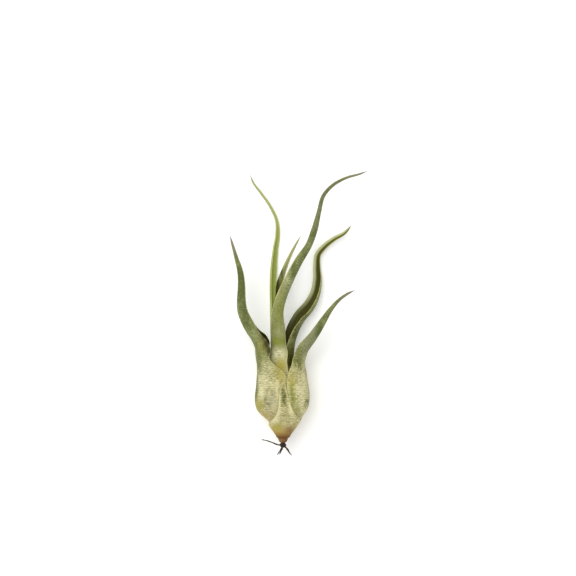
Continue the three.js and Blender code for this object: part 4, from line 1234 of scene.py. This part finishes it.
class PLANT_OT_scales(bpy.types.Operator):
    """Build the two short scales that clasp the bulb's base"""

    bl_idname = "air_plant.scales"
    bl_label = "Scales"

    def execute(self, context):
        grow(context, bladed=False)
        return {"FINISHED"}


class PLANT_OT_stem(bpy.types.Operator):
    """Build the short stem that the leaves clasp"""

    bl_idname = "air_plant.stem"
    bl_label = "Stem"

    def execute(self, context):
        dress(stem_piece(), stem_material(context.scene.plant_colours), "stem")
        return {"FINISHED"}


class PLANT_OT_roots(bpy.types.Operator):
    """Build the woody knob with its wiry roots"""

    bl_idname = "air_plant.roots"
    bl_label = "Roots"

    def execute(self, context):
        dress(root_piece(), root_material(context.scene.plant_colours), "root_tuft")
        return {"FINISHED"}


FLOOR_REACH, FLOOR_DROP = 2, -0.05 * MM
LAMP_SIZE, LAMP_AT, LAMP_AIM = 0.7, Vector((-0.28, 0.3, 1)), Vector((0, 0.05, 0.015))  # in metres
VIEW_END = 10


class PLANT_OT_stage(bpy.types.Operator):
    """Set the pale floor, the soft light and the camera that looks down on the plant"""

    bl_idname = "air_plant.stage"
    bl_label = "Stage"

    def execute(self, context):
        scene = context.scene
        studio = scene.plant_studio
        mesh = bpy.data.meshes.new("floor")
        square = ((-1, -1), (1, -1), (1, 1), (-1, 1))
        corners = [(x * FLOOR_REACH, y * FLOOR_REACH, FLOOR_DROP) for x, y in square]
        mesh.from_pydata(corners, [], [(0, 1, 2, 3)])
        mesh.materials.append(floor_material(scene.plant_colours))
        placed("floor", mesh)

        soft = bpy.data.lights.new("soft_light", "AREA")
        soft.energy, soft.size = studio.key, LAMP_SIZE
        lamp = placed("soft_light", soft)
        lamp.location = LAMP_AT
        lamp.rotation_euler = (LAMP_AIM - LAMP_AT).to_track_quat("-Z", "Y").to_euler()

        scene.world = bpy.data.worlds.new("even_light")
        scene.world.use_nodes = True
        sky = scene.world.node_tree.nodes["Background"].inputs
        sky["Color"].default_value = (1, 1, 1, 1)
        sky["Strength"].default_value = studio.sky

        view = bpy.data.cameras.new("camera")
        view.lens, view.clip_end = studio.lens, VIEW_END
        away = studio.seen * studio.lens / view.sensor_width
        scene.camera = placed("camera", view)
        scene.camera.location = (studio.aim_x, studio.aim_y, AXIS_HEIGHT * MM + away)
        scene.view_settings.view_transform = "Standard"
        return {"FINISHED"}


class PLANT_PT_panel(bpy.types.Panel):
    """The sizes, colours and steps of the air plant"""

    bl_label = "Air plant"
    bl_space_type = "VIEW_3D"
    bl_region_type = "UI"
    bl_category = "Air plant"

    def draw(self, context):
        for operator in OPERATORS:
            self.layout.operator(operator.bl_idname)
        for group in GROUPS:
            settings = getattr(context.scene, group)
            box = self.layout.box()
            for name in settings.__annotations__:
                box.prop(settings, name)


GROUPS = {"plant_sizes": PlantSizes, "plant_colours": PlantColours, "plant_studio": StudioSettings}
OPERATORS = (PLANT_OT_leaves, PLANT_OT_scales, PLANT_OT_stem, PLANT_OT_roots, PLANT_OT_stage)


def register():
    for name, group in GROUPS.items():
        bpy.utils.register_class(group)
        setattr(bpy.types.Scene, name, PointerProperty(type=group))
    for kind in (*OPERATORS, PLANT_PT_panel):
        bpy.utils.register_class(kind)


def unregister():
    for kind in (PLANT_PT_panel, *reversed(OPERATORS)):
        bpy.utils.unregister_class(kind)
    for name, group in GROUPS.items():
        delattr(bpy.types.Scene, name)
        bpy.utils.unregister_class(group)


def main():
    register()
    bpy.ops.air_plant.leaves()
    bpy.ops.air_plant.scales()
    bpy.ops.air_plant.stem()
    bpy.ops.air_plant.roots()
    bpy.ops.air_plant.stage()


if __name__ == "__main__":
    main()
